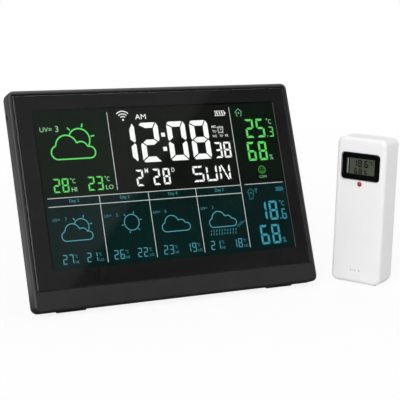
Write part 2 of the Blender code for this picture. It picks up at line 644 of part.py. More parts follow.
def add_battery_tub(part, frame):
    """Battery tub, the rebate that the door lies in, and its opening."""
    tub_half = BAY_HALF_LENGTH + TUB_WALL
    low = BAY_HEIGHT - BAY_HALF_HEIGHT
    high = BAY_HEIGHT + BAY_HALF_HEIGHT
    rebate_half = DOOR_HALF_WIDTH + GAP
    rebate_low = DOOR_BOTTOM - GAP
    join_box(part, frame, (-tub_half, BAY_FLOOR - TUB_WALL, low - TUB_WALL),
             (tub_half, BULGE_FLOOR + GAP, high + TUB_WALL))
    join_box(part, frame, (-rebate_half - TUB_WALL, REBATE_FLOOR - TUB_WALL, rebate_low - TUB_WALL),
             (rebate_half + TUB_WALL, BULGE_FLOOR + GAP, BULGE_TOP - CASE_WALL + GAP))
    cut_box(part, frame, (-rebate_half, REBATE_FLOOR, rebate_low),
            (rebate_half, CONSOLE_DEPTH + OVERSHOOT, BULGE_TOP + OVERSHOOT))
    cut_box(part, frame, (-BAY_HALF_LENGTH, BAY_FLOOR, low),
            (BAY_HALF_LENGTH, CONSOLE_DEPTH, high))


def add_stand_recess(part, frame):
    """Recess that the folded stand lies in, with ears for its pin."""
    outer = RECESS_OUTER
    join_box(part, frame, (-outer, RECESS_FLOOR - TUB_WALL, BULGE_BOTTOM + CASE_WALL / 2),
             (outer, BULGE_FLOOR + GAP, RECESS_TOP + TUB_WALL))
    cut_box(part, frame, (-RECESS_HALF, RECESS_FLOOR, BULGE_BOTTOM - OVERSHOOT),
            (RECESS_HALF, CONSOLE_DEPTH + OVERSHOOT, RECESS_TOP))
    cut_round(part, frame, (0, STAND_HINGE_DEPTH, STAND_HINGE_HEIGHT), STAND_PIN_RADIUS + GAP,
              2 * (outer - TUB_WALL / 2), axis="X", sides=16)


def add_rear_posts(part, frame):
    """Posts that press on the board, and bosses for the case screws."""
    low = BOARD_BACK + GAP
    high = BULGE_FLOOR + BITE
    for column in (-POST_COLUMN, POST_COLUMN):
        for row in POST_ROWS:
            join_round(part, frame, (column, (low + high) / 2, row), POST_RADIUS, high - low,
                       sides=12)
    boss_front = BACKLIGHT_BACK + GAP
    boss_back = SLAB_FLOOR + BITE
    for column in (-CASE_SCREW_COLUMN, CASE_SCREW_COLUMN):
        for row in CASE_SCREW_ROWS:
            join_round(part, frame, (column, (boss_front + boss_back) / 2, row),
                       CASE_BOSS_RADIUS, boss_back - boss_front, sides=14)
            cut_round(part, frame, (column, SLAB_DEPTH, row), CASE_SCREW_RADIUS + GAP,
                      2 * (SLAB_DEPTH - boss_front + OVERSHOOT), sides=12)
            cut_round(part, frame, (column, SLAB_DEPTH, row), CASE_SCREW_HEAD + GAP,
                      2 * (CASE_SCREW_SINK + GAP), sides=16)


def cut_rear_openings(part, frame):
    """Key holes, snooze slot, jack hole, foot pockets, vents, sound holes and wall hooks."""
    for column in (-KEY_COLUMN, KEY_COLUMN):
        for height in KEY_HEIGHTS:
            cut_box(part, frame,
                    (column - KEY_WIDTH / 2 - GAP, KEY_FRONT, height - KEY_HEIGHT / 2 - GAP),
                    (column + KEY_WIDTH / 2 + GAP, KEY_BACK, height + KEY_HEIGHT / 2 + GAP),
                    corner=KEY_HEIGHT / 2, corner_steps=3)
    cut_box(part, frame,
            (-SNOOZE_WIDTH / 2 - GAP, SNOOZE_CENTRE - SNOOZE_DEPTH / 2 - GAP,
             CONSOLE_HEIGHT - CASE_WALL - GAP),
            (SNOOZE_WIDTH / 2 + GAP, SNOOZE_CENTRE + SNOOZE_DEPTH / 2 + GAP,
             CONSOLE_HEIGHT + OVERSHOOT))
    cut_round(part, frame, (-HALF + CASE_WALL / 2, JACK_DEPTH, JACK_HEIGHT), JACK_HOLE_RADIUS,
              CASE_WALL + OVERSHOOT, axis="X", sides=18)
    for i in range(SLOT_COUNT):
        height = BULGE_BOTTOM + SLOT_RISE + i * SLOT_PITCH
        cut_box(part, frame, (BULGE_HALF - SLOT_SIDES[0], BULGE_FLOOR - BITE, height),
                (BULGE_HALF - SLOT_SIDES[1], CONSOLE_DEPTH + OVERSHOOT, height + SLOT_HEIGHT))
    for i in range(SOUND_COUNT):
        column = -BUZZER_COLUMN + (i - (SOUND_COUNT - 1) / 2) * SOUND_PITCH
        cut_round(part, frame, (column, CONSOLE_DEPTH, BUZZER_ROW), SOUND_RADIUS,
                  2 * (CASE_WALL + BITE), sides=8)
    for column in (-KEYHOLE_COLUMN, KEYHOLE_COLUMN):
        cut_round(part, frame, (column, CONSOLE_DEPTH, KEYHOLE_HEIGHT), KEYHOLE_RADIUS,
                  2 * (CASE_WALL + BITE), sides=18)
        cut_box(part, frame,
                (column - KEYHOLE_SLOT, BULGE_FLOOR - BITE, KEYHOLE_HEIGHT),
                (column + KEYHOLE_SLOT, CONSOLE_DEPTH + OVERSHOOT, KEYHOLE_HEIGHT + KEYHOLE_RISE))


# ---- console: stand, feet, battery bay

def make_stand(frame):
    """Fold-out stand on its pin, with a rubber pad at its tip, at its open stop."""
    hinge = new_frame("stand_hinge", frame, (0, STAND_HINGE_DEPTH, STAND_HINGE_HEIGHT),
                      (STAND_SWING, 0, 0))
    half = STAND_WIDTH / 2
    pin_height = (CONSOLE_LIFT + STAND_HINGE_HEIGHT * math.cos(CONSOLE_LEAN)
                  - STAND_HINGE_DEPTH * math.sin(CONSOLE_LEAN))
    pad_top = STAND_PAD
    reach = (pin_height - pad_top) / math.cos(STAND_ANGLE) + 0.004
    leg = box_part("stand_leg", hinge, (-half, -STAND_PLATE_FRONT, -reach),
                   (half, STAND_PLATE_BACK, STAND_HEEL), LOOKS["case_rear"], corner=0.0008,
                   corner_steps=1)
    join_round(leg, hinge, (0, 0, 0), STAND_BARREL_RADIUS, STAND_WIDTH, axis="X", sides=20)
    cut_round(leg, hinge, (0, 0, 0), STAND_PIN_RADIUS + GAP, STAND_WIDTH + OVERSHOOT, axis="X",
              sides=16)
    cut_box(leg, hinge,
            (-half + STAND_RIM, STAND_PLATE_BACK - STAND_PANEL_DEPTH, STAND_PANEL_BOTTOM - reach),
            (half - STAND_RIM, STAND_PLATE_BACK + OVERSHOOT, -STAND_PANEL_TOP),
            corner=STAND_RIM / 2, corner_steps=3)
    level = new_frame("stand_level", hinge, (0, 0, 0), (-STAND_ANGLE, 0, 0))
    floor = -pin_height
    cut_box(leg, level, (-half - OVERSHOOT, -0.02, floor - 0.02),
            (half + OVERSHOOT, reach, floor + pad_top + GAP))
    tip_back = (pin_height - pad_top) * math.tan(STAND_ANGLE)
    front = tip_back - STAND_PLATE_FRONT / math.cos(STAND_ANGLE) + STAND_PAD_LIP
    back = tip_back + STAND_PLATE_BACK / math.cos(STAND_ANGLE) - STAND_PAD_LIP
    box_part("stand_pad", level, (-half + STAND_PAD_INSET, front, floor),
             (half - STAND_PAD_INSET, back, floor + pad_top), LOOKS["rubber"])
    pin_half = RECESS_OUTER - TUB_WALL
    new_part("stand_pin", cylinder_mesh(STAND_PIN_RADIUS, 2 * pin_half, "X", 16), frame,
             (0, STAND_HINGE_DEPTH, STAND_HINGE_HEIGHT), look=LOOKS["steel"])


def make_feet(frame, rear_case):
    """Two rubber feet let into the lowest line of the rear case, with level undersides."""
    level = new_frame("feet_level", frame, (0, 0, 0), (CONSOLE_LEAN, 0, 0))
    floor = -CONSOLE_LIFT
    for name, column in (("foot_left", -FOOT_COLUMN), ("foot_right", FOOT_COLUMN)):
        low = (column - FOOT_WIDTH / 2, FOOT_LINE - FOOT_DEPTH / 2, floor)
        high = (column + FOOT_WIDTH / 2, FOOT_LINE + FOOT_DEPTH / 2, floor + FOOT_THICKNESS)
        box_part(name, level, low, high, LOOKS["rubber"])
        cut_box(rear_case, level, (low[0] - GAP, low[1] - GAP, floor - OVERSHOOT),
                (high[0] + GAP, high[1] + GAP, high[2] + GAP))


def cell_profile():
    """Outline of a cell from its nub down to its base, about Z."""
    half = CELL_LENGTH / 2
    body_top = half - CELL_NUB_HEIGHT
    edge = CELL_EDGE
    return [(0, half), (CELL_NUB_RADIUS, half), (CELL_NUB_RADIUS, body_top),
            (CELL_RADIUS - edge, body_top), (CELL_RADIUS, body_top - edge),
            (CELL_RADIUS, -half + edge), (CELL_RADIUS - edge, -half), (0, -half)]


def make_console_cells(frame):
    """Three cells across the bay, turned end for end in turn, each with its spring."""
    for i in range(CELL_COUNT):
        side = -1 if i % 2 == 0 else 1
        height = BAY_HEIGHT + (i - (CELL_COUNT - 1) / 2) * CELL_PITCH
        end = BAY_HALF_LENGTH - 2 * GAP - CONTACT_THICKNESS
        centre = side * (end - CELL_LENGTH / 2)
        turned_part(f"console_cell_{i + 1}", frame, cell_profile(), (centre, CELL_DEPTH, height),
                    (0, side * math.pi / 2, 0), LOOKS["cell"])
        coil_part(f"contact_spring_{i + 1}", frame, (-side * end, CELL_DEPTH, height),
                  (0, side * math.pi / 2, 0), LOOKS["steel"])


def make_console_contacts(frame):
    """Contact plates at the bay's ends: two bridges and two single terminals."""
    outer = BAY_HALF_LENGTH - GAP
    inner = outer - CONTACT_THICKNESS
    heights = [BAY_HEIGHT + (i - 1) * CELL_PITCH for i in range(CELL_COUNT)]
    plates = (("contact_plus", -1, heights[0], heights[0]),
              ("contact_bridge_left", -1, heights[1], heights[2]),
              ("contact_bridge_right", 1, heights[0], heights[1]),
              ("contact_minus", 1, heights[2], heights[2]))
    for name, side, low, high in plates:
        ends = sorted((side * inner, side * outer))
        box_part(name, frame, (ends[0], CELL_DEPTH - CONTACT_DEPTH, low - CONTACT_RISE),
                 (ends[1], CELL_DEPTH + CONTACT_DEPTH, high + CONTACT_RISE), LOOKS["steel"])


def make_battery_door(frame):
    """Door over the bay: it follows the bulge and slides up off it."""
    half = BULGE_HALF
    part = box_part("battery_door", frame, (-half, SLAB_FLOOR, BULGE_BOTTOM),
                    (half, CONSOLE_DEPTH, BULGE_TOP), LOOKS["case_rear"], corner=BULGE_CORNER,
                    edge=BULGE_EDGE, edge_at="back")
    keep_box(part, frame, (-DOOR_HALF_WIDTH, DOOR_FRONT, DOOR_BOTTOM),
             (DOOR_HALF_WIDTH, CONSOLE_DEPTH + OVERSHOOT, BULGE_TOP + OVERSHOOT))
    for i in range(GRIP_COUNT):
        height = BULGE_TOP - GRIP_DROP + i * GRIP_PITCH
        join_box(part, frame, (-GRIP_HALF, CONSOLE_DEPTH - BITE, height),
                 (GRIP_HALF, CONSOLE_DEPTH + GRIP_PROUD, height + GRIP_HEIGHT))
    return part


# ---- console: boards, keys, fasteners

def make_boards(frame):
    """Main board with its notch for the battery tub, and what is mounted on it."""
    board = box_part("main_board", frame, (-BOARD_HALF, BOARD_DEPTH, BOARD_BOTTOM),
                     (BOARD_HALF, BOARD_BACK, BOARD_TOP), LOOKS["board"], corner=BOARD_CORNER,
                     corner_steps=2)
    notch = DOOR_HALF_WIDTH + TUB_WALL + 3 * GAP
    cut_box(board, frame, (-notch, BOARD_DEPTH - OVERSHOOT, DOOR_BOTTOM - BOARD_NOTCH_DROP),
            (notch, BOARD_BACK + OVERSHOOT, BOARD_TOP + OVERSHOOT))
    top = BOARD_BACK + GAP
    left = RECESS_OUTER + MODULE_GAP
    right = BULGE_HALF - MODULE_SIDE
    low = BULGE_BOTTOM + MODULE_RISE
    high = low + (KEYPAD_BOTTOM - low) * MODULE_SHARE
    wifi = box_part("wifi_module", frame, (left, top, low), (right, top + MODULE_BOARD, high),
                    LOOKS["board_dark"])
    rim = 2 * BITE
    join_box(wifi, frame, (left + rim, top + BITE, low + rim),
             (left + rim + (right - left) * 2 / 3, top + MODULE_TIN, high - rim))
    new_part("buzzer", cylinder_mesh(BUZZER_RADIUS, BUZZER_HEIGHT, "Y", 24), frame,
             (-BUZZER_COLUMN, top + BUZZER_HEIGHT / 2, BUZZER_ROW), look=LOOKS["black_part"])
    centre = BULGE_HALF - PROBE_SIDE
    low = BULGE_BOTTOM + PROBE_RISE
    probe = box_part("indoor_sensor", frame, (centre - PROBE_SIZE[0] / 2, top, low),
                     (centre + PROBE_SIZE[0] / 2, top + PROBE_SIZE[1], low + PROBE_SIZE[2]),
                     LOOKS["board_dark"])
    join_box(probe, frame, (centre - PROBE_HEAD[0] / 2, top + BITE, low + 3 * GAP),
             (centre + PROBE_HEAD[0] / 2, top + PROBE_HEAD[1], low + 3 * GAP + PROBE_HEAD[2]))


def make_keypads(frame):
    """Silicone sheets with a dome under each rear key."""
    for name, column in (("keypad_left", -KEY_COLUMN), ("keypad_right", KEY_COLUMN)):
        low = BOARD_BACK + GAP
        pad = box_part(name, frame, (column - KEYPAD_HALF, low, KEYPAD_BOTTOM),
                       (column + KEYPAD_HALF, low + KEYPAD_SHEET,
                        KEY_HEIGHTS[-1] + KEYPAD_MARGINS[1]), LOOKS["silicone"])
        dome_top = KEY_FRONT - KEY_TRAVEL - GAP
        base = low + KEYPAD_SHEET * 2 / 3
        for height in KEY_HEIGHTS:
            join_round(pad, frame, (column, (base + dome_top) / 2, height), DOME_RADIUS,
                       dome_top - base, sides=14, tip_radius=DOME_TIP)


def make_keys(frame):
    """Six rear keys in two columns, with a flange behind the case wall."""
    names = (("key_mode", "key_up", "key_down"), ("key_alarm", "key_channel", "key_wifi"))
    for column, column_names in zip((-KEY_COLUMN, KEY_COLUMN), names):
        for height, name in zip(reversed(KEY_HEIGHTS), column_names):
            low = (column - KEY_WIDTH / 2, KEY_FRONT, height - KEY_HEIGHT / 2)
            high = (column + KEY_WIDTH / 2, KEY_BACK, height + KEY_HEIGHT / 2)
            key = box_part(name, frame, low, high, LOOKS["key"], corner=KEY_HEIGHT / 2 - GAP,
                           corner_steps=3, edge=KEY_EDGE, edge_at="back", edge_steps=1)
            join_box(key, frame, (low[0] - KEY_LIP, KEY_FRONT - FLUSH, low[2] - KEY_LIP),
                     (high[0] + KEY_LIP, KEY_FLANGE_BACK, high[2] + KEY_LIP))


def make_snooze(frame):
    """Flush snooze and light key in the top edge, and the switch under it."""
    front = SNOOZE_CENTRE - SNOOZE_DEPTH / 2
    back = SNOOZE_CENTRE + SNOOZE_DEPTH / 2
    under = CONSOLE_HEIGHT - CASE_WALL - GAP
    key = box_part("snooze_key", frame, (-SNOOZE_WIDTH / 2, front, under - 2 * BITE),
                   (SNOOZE_WIDTH / 2, back, CONSOLE_HEIGHT), LOOKS["key"])
    join_box(key, frame, (-SNOOZE_WIDTH / 2 - SNOOZE_LIP, front - FLUSH, under - SNOOZE_SKIRT),
             (SNOOZE_WIDTH / 2 + SNOOZE_LIP, back + FLUSH, under))
    base = LCD_TOP + BACKLIGHT_MARGIN + GAP
    top = under - SNOOZE_SKIRT - KEY_TRAVEL - 2 * GAP
    half = SNOOZE_SWITCH_HALF
    switch = box_part("snooze_switch", frame, (-half, front + GAP, base),
                      (half, back - GAP, top - SNOOZE_PLUNGER / 2), LOOKS["black_part"])
    rise = SNOOZE_PLUNGER + BITE + GAP
    join_round(switch, frame, (0, SNOOZE_CENTRE, top - rise / 2), SNOOZE_PLUNGER, rise,
               axis="Z", sides=12)


def make_dc_jack(frame):
    """Low power inlet behind the hole in the left side wall."""
    outer = -HALF + CASE_WALL + JACK_SETBACK
    inner = -BACKLIGHT_HALF - GAP
    jack = box_part("dc_jack", frame, (outer, SKIRT_BACK + GAP, JACK_HEIGHT - JACK_HALF_HEIGHT),
                    (inner, SLAB_FLOOR - GAP, JACK_HEIGHT + JACK_HALF_HEIGHT),
                    LOOKS["black_part"])
    depth = (inner - outer) - 2 * BITE
    cut_round(jack, frame, (outer + depth / 2 - OVERSHOOT / 2, JACK_DEPTH, JACK_HEIGHT), JACK_BORE,
              depth + OVERSHOOT, axis="X", sides=16)
    join_round(jack, frame, (inner - JACK_PIN_LENGTH / 2 - BITE, JACK_DEPTH, JACK_HEIGHT), JACK_PIN,
               JACK_PIN_LENGTH, axis="X", sides=8)


def make_screw(name, frame, place, turn, radius, head, head_height, length, look):
    """Pan-head screw along Z, its head's top at the origin, with a driver slot."""
    edge = head_height * 0.3
    profile = [(0, 0), (head - edge, 0), (head, -edge), (head, -head_height),
               (radius, -head_height), (radius, -length + radius), (0.4 * radius, -length),
               (0, -length)]
    screw = turned_part(name, frame, profile, place, turn, look, steps=16)
    for angle in (0, math.pi / 2):
        slot = box_mesh((head * 1.2, head * 0.28, head_height * 0.9))
        boolean(screw, "DIFFERENCE", slot, screw, (0, 0, 0), (0, 0, angle))
    return screw


def make_case_screws(frame):
    """Four screws that hold the shells together."""
    number = 0
    length = SLAB_DEPTH - LEDGE_BACK - CASE_SCREW_SINK
    for row in CASE_SCREW_ROWS:
        for column in (-CASE_SCREW_COLUMN, CASE_SCREW_COLUMN):
            number += 1
            make_screw(f"case_screw_{number}", frame, (column, SLAB_DEPTH - GAP, row),
                       (-math.pi / 2, 0, 0), CASE_SCREW_RADIUS, CASE_SCREW_HEAD,
                       CASE_SCREW_SINK - GAP,
                       length, LOOKS["steel"])


# ---- sensor

def make_sensor_front(frame):
    """Deep front shell with the window pocket, LED hole, vents and base nubs."""
    part = box_part("sensor_front_case", frame, (-SENSOR_HALF, 0, SENSOR_NUB),
                    (SENSOR_HALF, SENSOR_FRONT_DEPTH, SENSOR_NUB + SENSOR_HEIGHT),
                    LOOKS["white"], corner=SENSOR_CORNER, corner_steps=5, edge=SENSOR_EDGE)
    inner = SENSOR_HALF - SENSOR_WALL
    cut_box(part, frame, (-inner, SENSOR_WALL, SENSOR_NUB + SENSOR_WALL),
            (inner, SENSOR_FRONT_DEPTH + OVERSHOOT, SENSOR_NUB + SENSOR_HEIGHT - SENSOR_WALL),
            corner=SENSOR_CORNER - SENSOR_WALL, corner_steps=3, edge=SENSOR_EDGE - SENSOR_WALL,
            edge_steps=2)
    backing = SENSOR_WINDOW_THICKNESS + GAP + SENSOR_WINDOW_BACKING
    backing_half = SENSOR_WINDOW_HALF + SENSOR_WINDOW_FRAME
    backing_rise = SENSOR_WINDOW_HEIGHT / 2 + SENSOR_WINDOW_FRAME
    join_box(part, frame,
             (-backing_half, SENSOR_WALL / 2, SENSOR_WINDOW_CENTRE - backing_rise),
             (backing_half, backing, SENSOR_WINDOW_CENTRE + backing_rise))
    pocket_half = SENSOR_WINDOW_HALF + GAP
    pocket_rise = SENSOR_WINDOW_HEIGHT / 2 + GAP
    cut_box(part, frame, (-pocket_half, -OVERSHOOT, SENSOR_WINDOW_CENTRE - pocket_rise),
            (pocket_half, SENSOR_WINDOW_THICKNESS + GAP, SENSOR_WINDOW_CENTRE + pocket_rise),
            corner=SENSOR_WINDOW_CORNER + GAP, corner_steps=3)
    view_half = SENSOR_LCD_HALF + GAP
    view_rise = SENSOR_LCD_HEIGHT / 2 + GAP
    cut_box(part, frame, (-view_half, 0, SENSOR_WINDOW_CENTRE - view_rise),
            (view_half, backing + OVERSHOOT, SENSOR_WINDOW_CENTRE + view_rise))
    cut_round(part, frame, (0, 0, LED_HEIGHT), LED_RADIUS + GAP, 4 * SENSOR_WALL, sides=16)
    for i in (-1, 0, 1):
        cut_round(part, frame, (i * VENT_PITCH, 0, VENT_HEIGHT), VENT_RADIUS, 4 * SENSOR_WALL,
                  sides=10)
    nub_column = SENSOR_HALF - SENSOR_NUB_SIDE
    for across in (-nub_column, nub_column):
        for back in SENSOR_NUB_DEPTHS:
            join_round(part, frame, (across, back, SENSOR_NUB), SENSOR_NUB_RADIUS, 2 * SENSOR_NUB,
                       axis="Z", sides=12)
    for across in (-SENSOR_SCREW_COLUMN, SENSOR_SCREW_COLUMN):
        join_post(part, frame, across, SENSOR_SCREW_ROW, SENSOR_BOARD_BACK + GAP,
                  SENSOR_FRONT_DEPTH - 2 * GAP)
    return part


def join_post(part, frame, across, height, low, high):
    """Screw post tied to the nearest side wall by a web."""
    wall = math.copysign(SENSOR_HALF - SENSOR_WALL / 2, across)
    ends = sorted((across, wall))
    join_box(part, frame, (ends[0], low, height - SENSOR_WEB), (ends[1], high, height + SENSOR_WEB))
    join_round(part, frame, (across, (low + high) / 2, height), SENSOR_POST_RADIUS, high - low,
               sides=12)
    hole = (high - low) * 0.8
    cut_round(part, frame, (across, high - hole / 2 + OVERSHOOT / 2, height),
              SENSOR_SCREW_RADIUS + GAP, hole + OVERSHOOT, sides=10)


def make_sensor_display(frame):
    """Printed window, small LCD, LED, and the board with its probe behind the vents."""
    centre = SENSOR_WINDOW_CENTRE
    rise = SENSOR_WINDOW_HEIGHT / 2
    box_part("sensor_window", frame, (-SENSOR_WINDOW_HALF, 0, centre - rise),
             (SENSOR_WINDOW_HALF, SENSOR_WINDOW_THICKNESS, centre + rise),
             LOOKS["window"], corner=SENSOR_WINDOW_CORNER, corner_steps=3, edge=GAP,
             edge_steps=1)
    rise = SENSOR_LCD_HEIGHT / 2
    box_part("sensor_lcd", frame, (-SENSOR_LCD_HALF, SENSOR_LCD_FRONT, centre - rise),
             (SENSOR_LCD_HALF, SENSOR_LCD_FRONT + SENSOR_LCD_THICKNESS, centre + rise),
             LOOKS["lcd_grey"])
    dome = [(0, 0.4 * LED_RADIUS), (0.6 * LED_RADIUS, 0.8 / 3 * LED_RADIUS), (0.92 * LED_RADIUS, 0.0)]
    back = -(SENSOR_BOARD_FRONT - GAP)
    profile = dome + [(LED_RADIUS, -0.4 * LED_RADIUS), (LED_RADIUS, back), (0, back)]
    turned_part("led_lens", frame, profile, (0, 0, LED_HEIGHT), (math.pi / 2, 0, 0),
                LOOKS["led"], steps=16)
    edge = SENSOR_WALL + SENSOR_BOARD_MARGIN
    board = box_part("sensor_board", frame,
                     (edge - SENSOR_HALF, SENSOR_BOARD_FRONT, SENSOR_NUB + edge),
                     (SENSOR_HALF - edge, SENSOR_BOARD_BACK, SENSOR_NUB + SENSOR_HEIGHT - edge),
                     LOOKS["board"])
    join_box(board, frame,
             (-SENSOR_PROBE_HALF, SENSOR_BOARD_FRONT - SENSOR_PROBE_DEPTH, SENSOR_PROBE_ROWS[0]),
             (SENSOR_PROBE_HALF, SENSOR_BOARD_FRONT + BITE, SENSOR_PROBE_ROWS[1]))


def make_sensor_rear(frame):
    """Rear shell with the battery tub, control deck, door rebate and wall hook."""
    half = SENSOR_HALF - SENSOR_REAR_INSET
    low = SENSOR_NUB + SENSOR_REAR_INSET
    high = SENSOR_NUB + SENSOR_HEIGHT - SENSOR_REAR_INSET
    part = box_part("sensor_rear_case", frame, (-half, SENSOR_REAR_FRONT, low),
                    (half, SENSOR_DEPTH, high), LOOKS["white"],
                    corner=SENSOR_CORNER - SENSOR_REAR_INSET, corner_steps=5,
                    edge=SENSOR_REAR_EDGE, edge_at="back", edge_steps=2)
    inner = half - SENSOR_WALL
    floor = SENSOR_DEPTH - SENSOR_WALL
    cut_box(part, frame, (-inner, SENSOR_REAR_FRONT - OVERSHOOT, low + SENSOR_WALL),
            (inner, floor, high - SENSOR_WALL), corner=0.002, corner_steps=2)
    lip = SENSOR_HALF - SENSOR_WALL - GAP
    return add_sensor_tub(part, frame, lip)


def add_sensor_tub(part, frame, lip):
    """Door floor, battery tub, deck holes, screw holes and hanging hole."""
    rebate_half = SENSOR_DOOR_HALF + GAP
    rebate_floor = SENSOR_DOOR_FRONT - GAP
    bay_low = SENSOR_BAY_HEIGHT - SENSOR_BAY_HALF_LENGTH
    bay_high = SENSOR_BAY_HEIGHT + SENSOR_BAY_HALF_LENGTH
    tub_half = SENSOR_BAY_HALF_WIDTH + TUB_WALL
    join_box(part, frame, (-lip, rebate_floor - TUB_WALL, SENSOR_NUB + SENSOR_WALL),
             (lip, SENSOR_DOOR_FRONT + GAP, SENSOR_DOOR_TOP + TUB_WALL))
    join_box(part, frame, (-tub_half, SENSOR_BAY_FLOOR - TUB_WALL, bay_low - TUB_WALL),
             (tub_half, SENSOR_DOOR_FRONT, bay_high + TUB_WALL))
    cut_box(part, frame, (-rebate_half, rebate_floor, -OVERSHOOT),
            (rebate_half, SENSOR_DEPTH + OVERSHOOT, SENSOR_DOOR_TOP + GAP))
    cut_box(part, frame, (-SENSOR_BAY_HALF_WIDTH, SENSOR_BAY_FLOOR, bay_low),
            (SENSOR_BAY_HALF_WIDTH, SENSOR_DEPTH, bay_high))
    for across, width, _ in sensor_controls():
        cut_box(part, frame,
                (across - width / 2 - GAP, rebate_floor - TUB_WALL - OVERSHOOT,
                 SENSOR_DECK_HEIGHT - CONTROL_HALF - GAP),
                (across + width / 2 + GAP, SENSOR_DEPTH, SENSOR_DECK_HEIGHT + CONTROL_HALF + GAP))
    for across in (-SENSOR_SCREW_COLUMN, SENSOR_SCREW_COLUMN):
        place = (across, SENSOR_DEPTH, SENSOR_SCREW_ROW)
        cut_round(part, frame, place, SENSOR_SCREW_RADIUS + GAP, 10 * SENSOR_WALL, sides=10)
        cut_round(part, frame, place, SENSOR_SCREW_HEAD + GAP,
                  2 * (SENSOR_DEPTH - SENSOR_SCREW_SEAT + GAP), sides=14)
    cut_round(part, frame, (0, SENSOR_DEPTH, SENSOR_SCREW_ROW), SENSOR_HANG_RADIUS,
              4 * SENSOR_WALL, sides=18)
    return part


def sensor_controls():
    """Across, slot width and cap width of the channel switch and the two buttons."""
    cap = 2 * CONTROL_HALF
    return ((-SWITCH_COLUMN, SWITCH_SLOT, SWITCH_CAP), (BUTTON_COLUMNS[0], cap, cap),
            (BUTTON_COLUMNS[1], cap, cap))


def make_sensor_controls(frame):
    """Channel slide switch and two push buttons, under the door."""
    names = ("channel_switch", "unit_button", "test_button")
    cap_back = SENSOR_DOOR_FRONT - GAP
    deck = SENSOR_DOOR_FRONT - GAP - TUB_WALL
    for name, (across, _, cap) in zip(names, sensor_controls()):
        low = (across - cap / 2, deck - CONTROL_DEPTH, SENSOR_DECK_HEIGHT - CONTROL_HALF)
        high = (across + cap / 2, cap_back, SENSOR_DECK_HEIGHT + CONTROL_HALF)
        knob = box_part(name, frame, low, high, LOOKS["black_part"])
        join_box(knob, frame,
                 (low[0] - CONTROL_LIP, deck - CONTROL_DEPTH * 4 / 3, low[2] - CONTROL_LIP),
                 (high[0] + CONTROL_LIP, deck - GAP, high[2] + CONTROL_LIP))


def make_sensor_door(frame):
    """Door over the cells and controls: it slides down off the case."""
    half = SENSOR_HALF - SENSOR_REAR_INSET
    low = SENSOR_NUB + SENSOR_REAR_INSET
    part = box_part("sensor_battery_door", frame, (-half, SENSOR_REAR_FRONT, low),
                    (half, SENSOR_DEPTH, SENSOR_NUB + SENSOR_HEIGHT), LOOKS["white"],
                    corner=SENSOR_CORNER - SENSOR_REAR_INSET, corner_steps=5,
                    edge=SENSOR_REAR_EDGE, edge_at="back", edge_steps=2)
    keep_box(part, frame, (-SENSOR_DOOR_HALF, SENSOR_DOOR_FRONT, 0),
             (SENSOR_DOOR_HALF, SENSOR_DEPTH + OVERSHOOT, SENSOR_DOOR_TOP))
    for i in range(GRIP_COUNT):
        height = SENSOR_DOOR_TOP - SENSOR_GRIP_DROP + i * GRIP_PITCH
        join_box(part, frame, (-SENSOR_GRIP_HALF, SENSOR_DEPTH - BITE, height),
                 (SENSOR_GRIP_HALF, SENSOR_DEPTH + SENSOR_GRIP_PROUD, height + GRIP_HEIGHT))
    return part


def make_sensor_cells(frame):
    """Two cells side by side, their springs, terminals and the bridge between them."""
    end = SENSOR_BAY_HALF_LENGTH - 2 * GAP - CONTACT_THICKNESS
    inner = SENSOR_BAY_HALF_LENGTH - GAP - CONTACT_THICKNESS
    outer = SENSOR_BAY_HALF_LENGTH - GAP
    for i, (across, side) in enumerate(((-CELL_PITCH / 2, 1), (CELL_PITCH / 2, -1))):
        centre = SENSOR_BAY_HEIGHT + side * (end - CELL_LENGTH / 2)
        turn = (0, 0, 0) if side > 0 else (math.pi, 0, 0)
        turned_part(f"sensor_cell_{i + 1}", frame, cell_profile(),
                    (across, SENSOR_CELL_DEPTH, centre), turn, LOOKS["cell"])
        coil_part(f"sensor_spring_{i + 1}", frame,
                  (across, SENSOR_CELL_DEPTH, SENSOR_BAY_HEIGHT - side * end), turn,
                  LOOKS["steel"])
    half = CELL_PITCH / 2 + CONTACT_DEPTH
    apart = CELL_SPACE - FLUSH
    plates = (("sensor_contact_bridge", 1, -half, half),
              ("sensor_contact_minus", -1, -half, -apart),
              ("sensor_contact_plus", -1, apart, half))
    for name, side, low, high in plates:
        ends = sorted((side * inner, side * outer))
        box_part(name, frame,
                 (low, SENSOR_CELL_DEPTH - CONTACT_DEPTH, SENSOR_BAY_HEIGHT + ends[0]),
                 (high, SENSOR_CELL_DEPTH + CONTACT_DEPTH, SENSOR_BAY_HEIGHT + ends[1]),
                 LOOKS["steel"])


def make_sensor_screws(frame):
    """Two screws through the rear shell into the front shell's posts."""
    depth = SENSOR_SCREW_SEAT + SENSOR_SCREW_HEAD_HEIGHT
    for number, across in enumerate((-SENSOR_SCREW_COLUMN, SENSOR_SCREW_COLUMN), 1):
        make_screw(f"sensor_screw_{number}", frame, (across, depth, SENSOR_SCREW_ROW),
                   (-math.pi / 2, 0, 0), SENSOR_SCREW_RADIUS, SENSOR_SCREW_HEAD,
                   SENSOR_SCREW_HEAD_HEIGHT, SENSOR_SCREW_LENGTH, LOOKS["steel"])


# ---- whole object

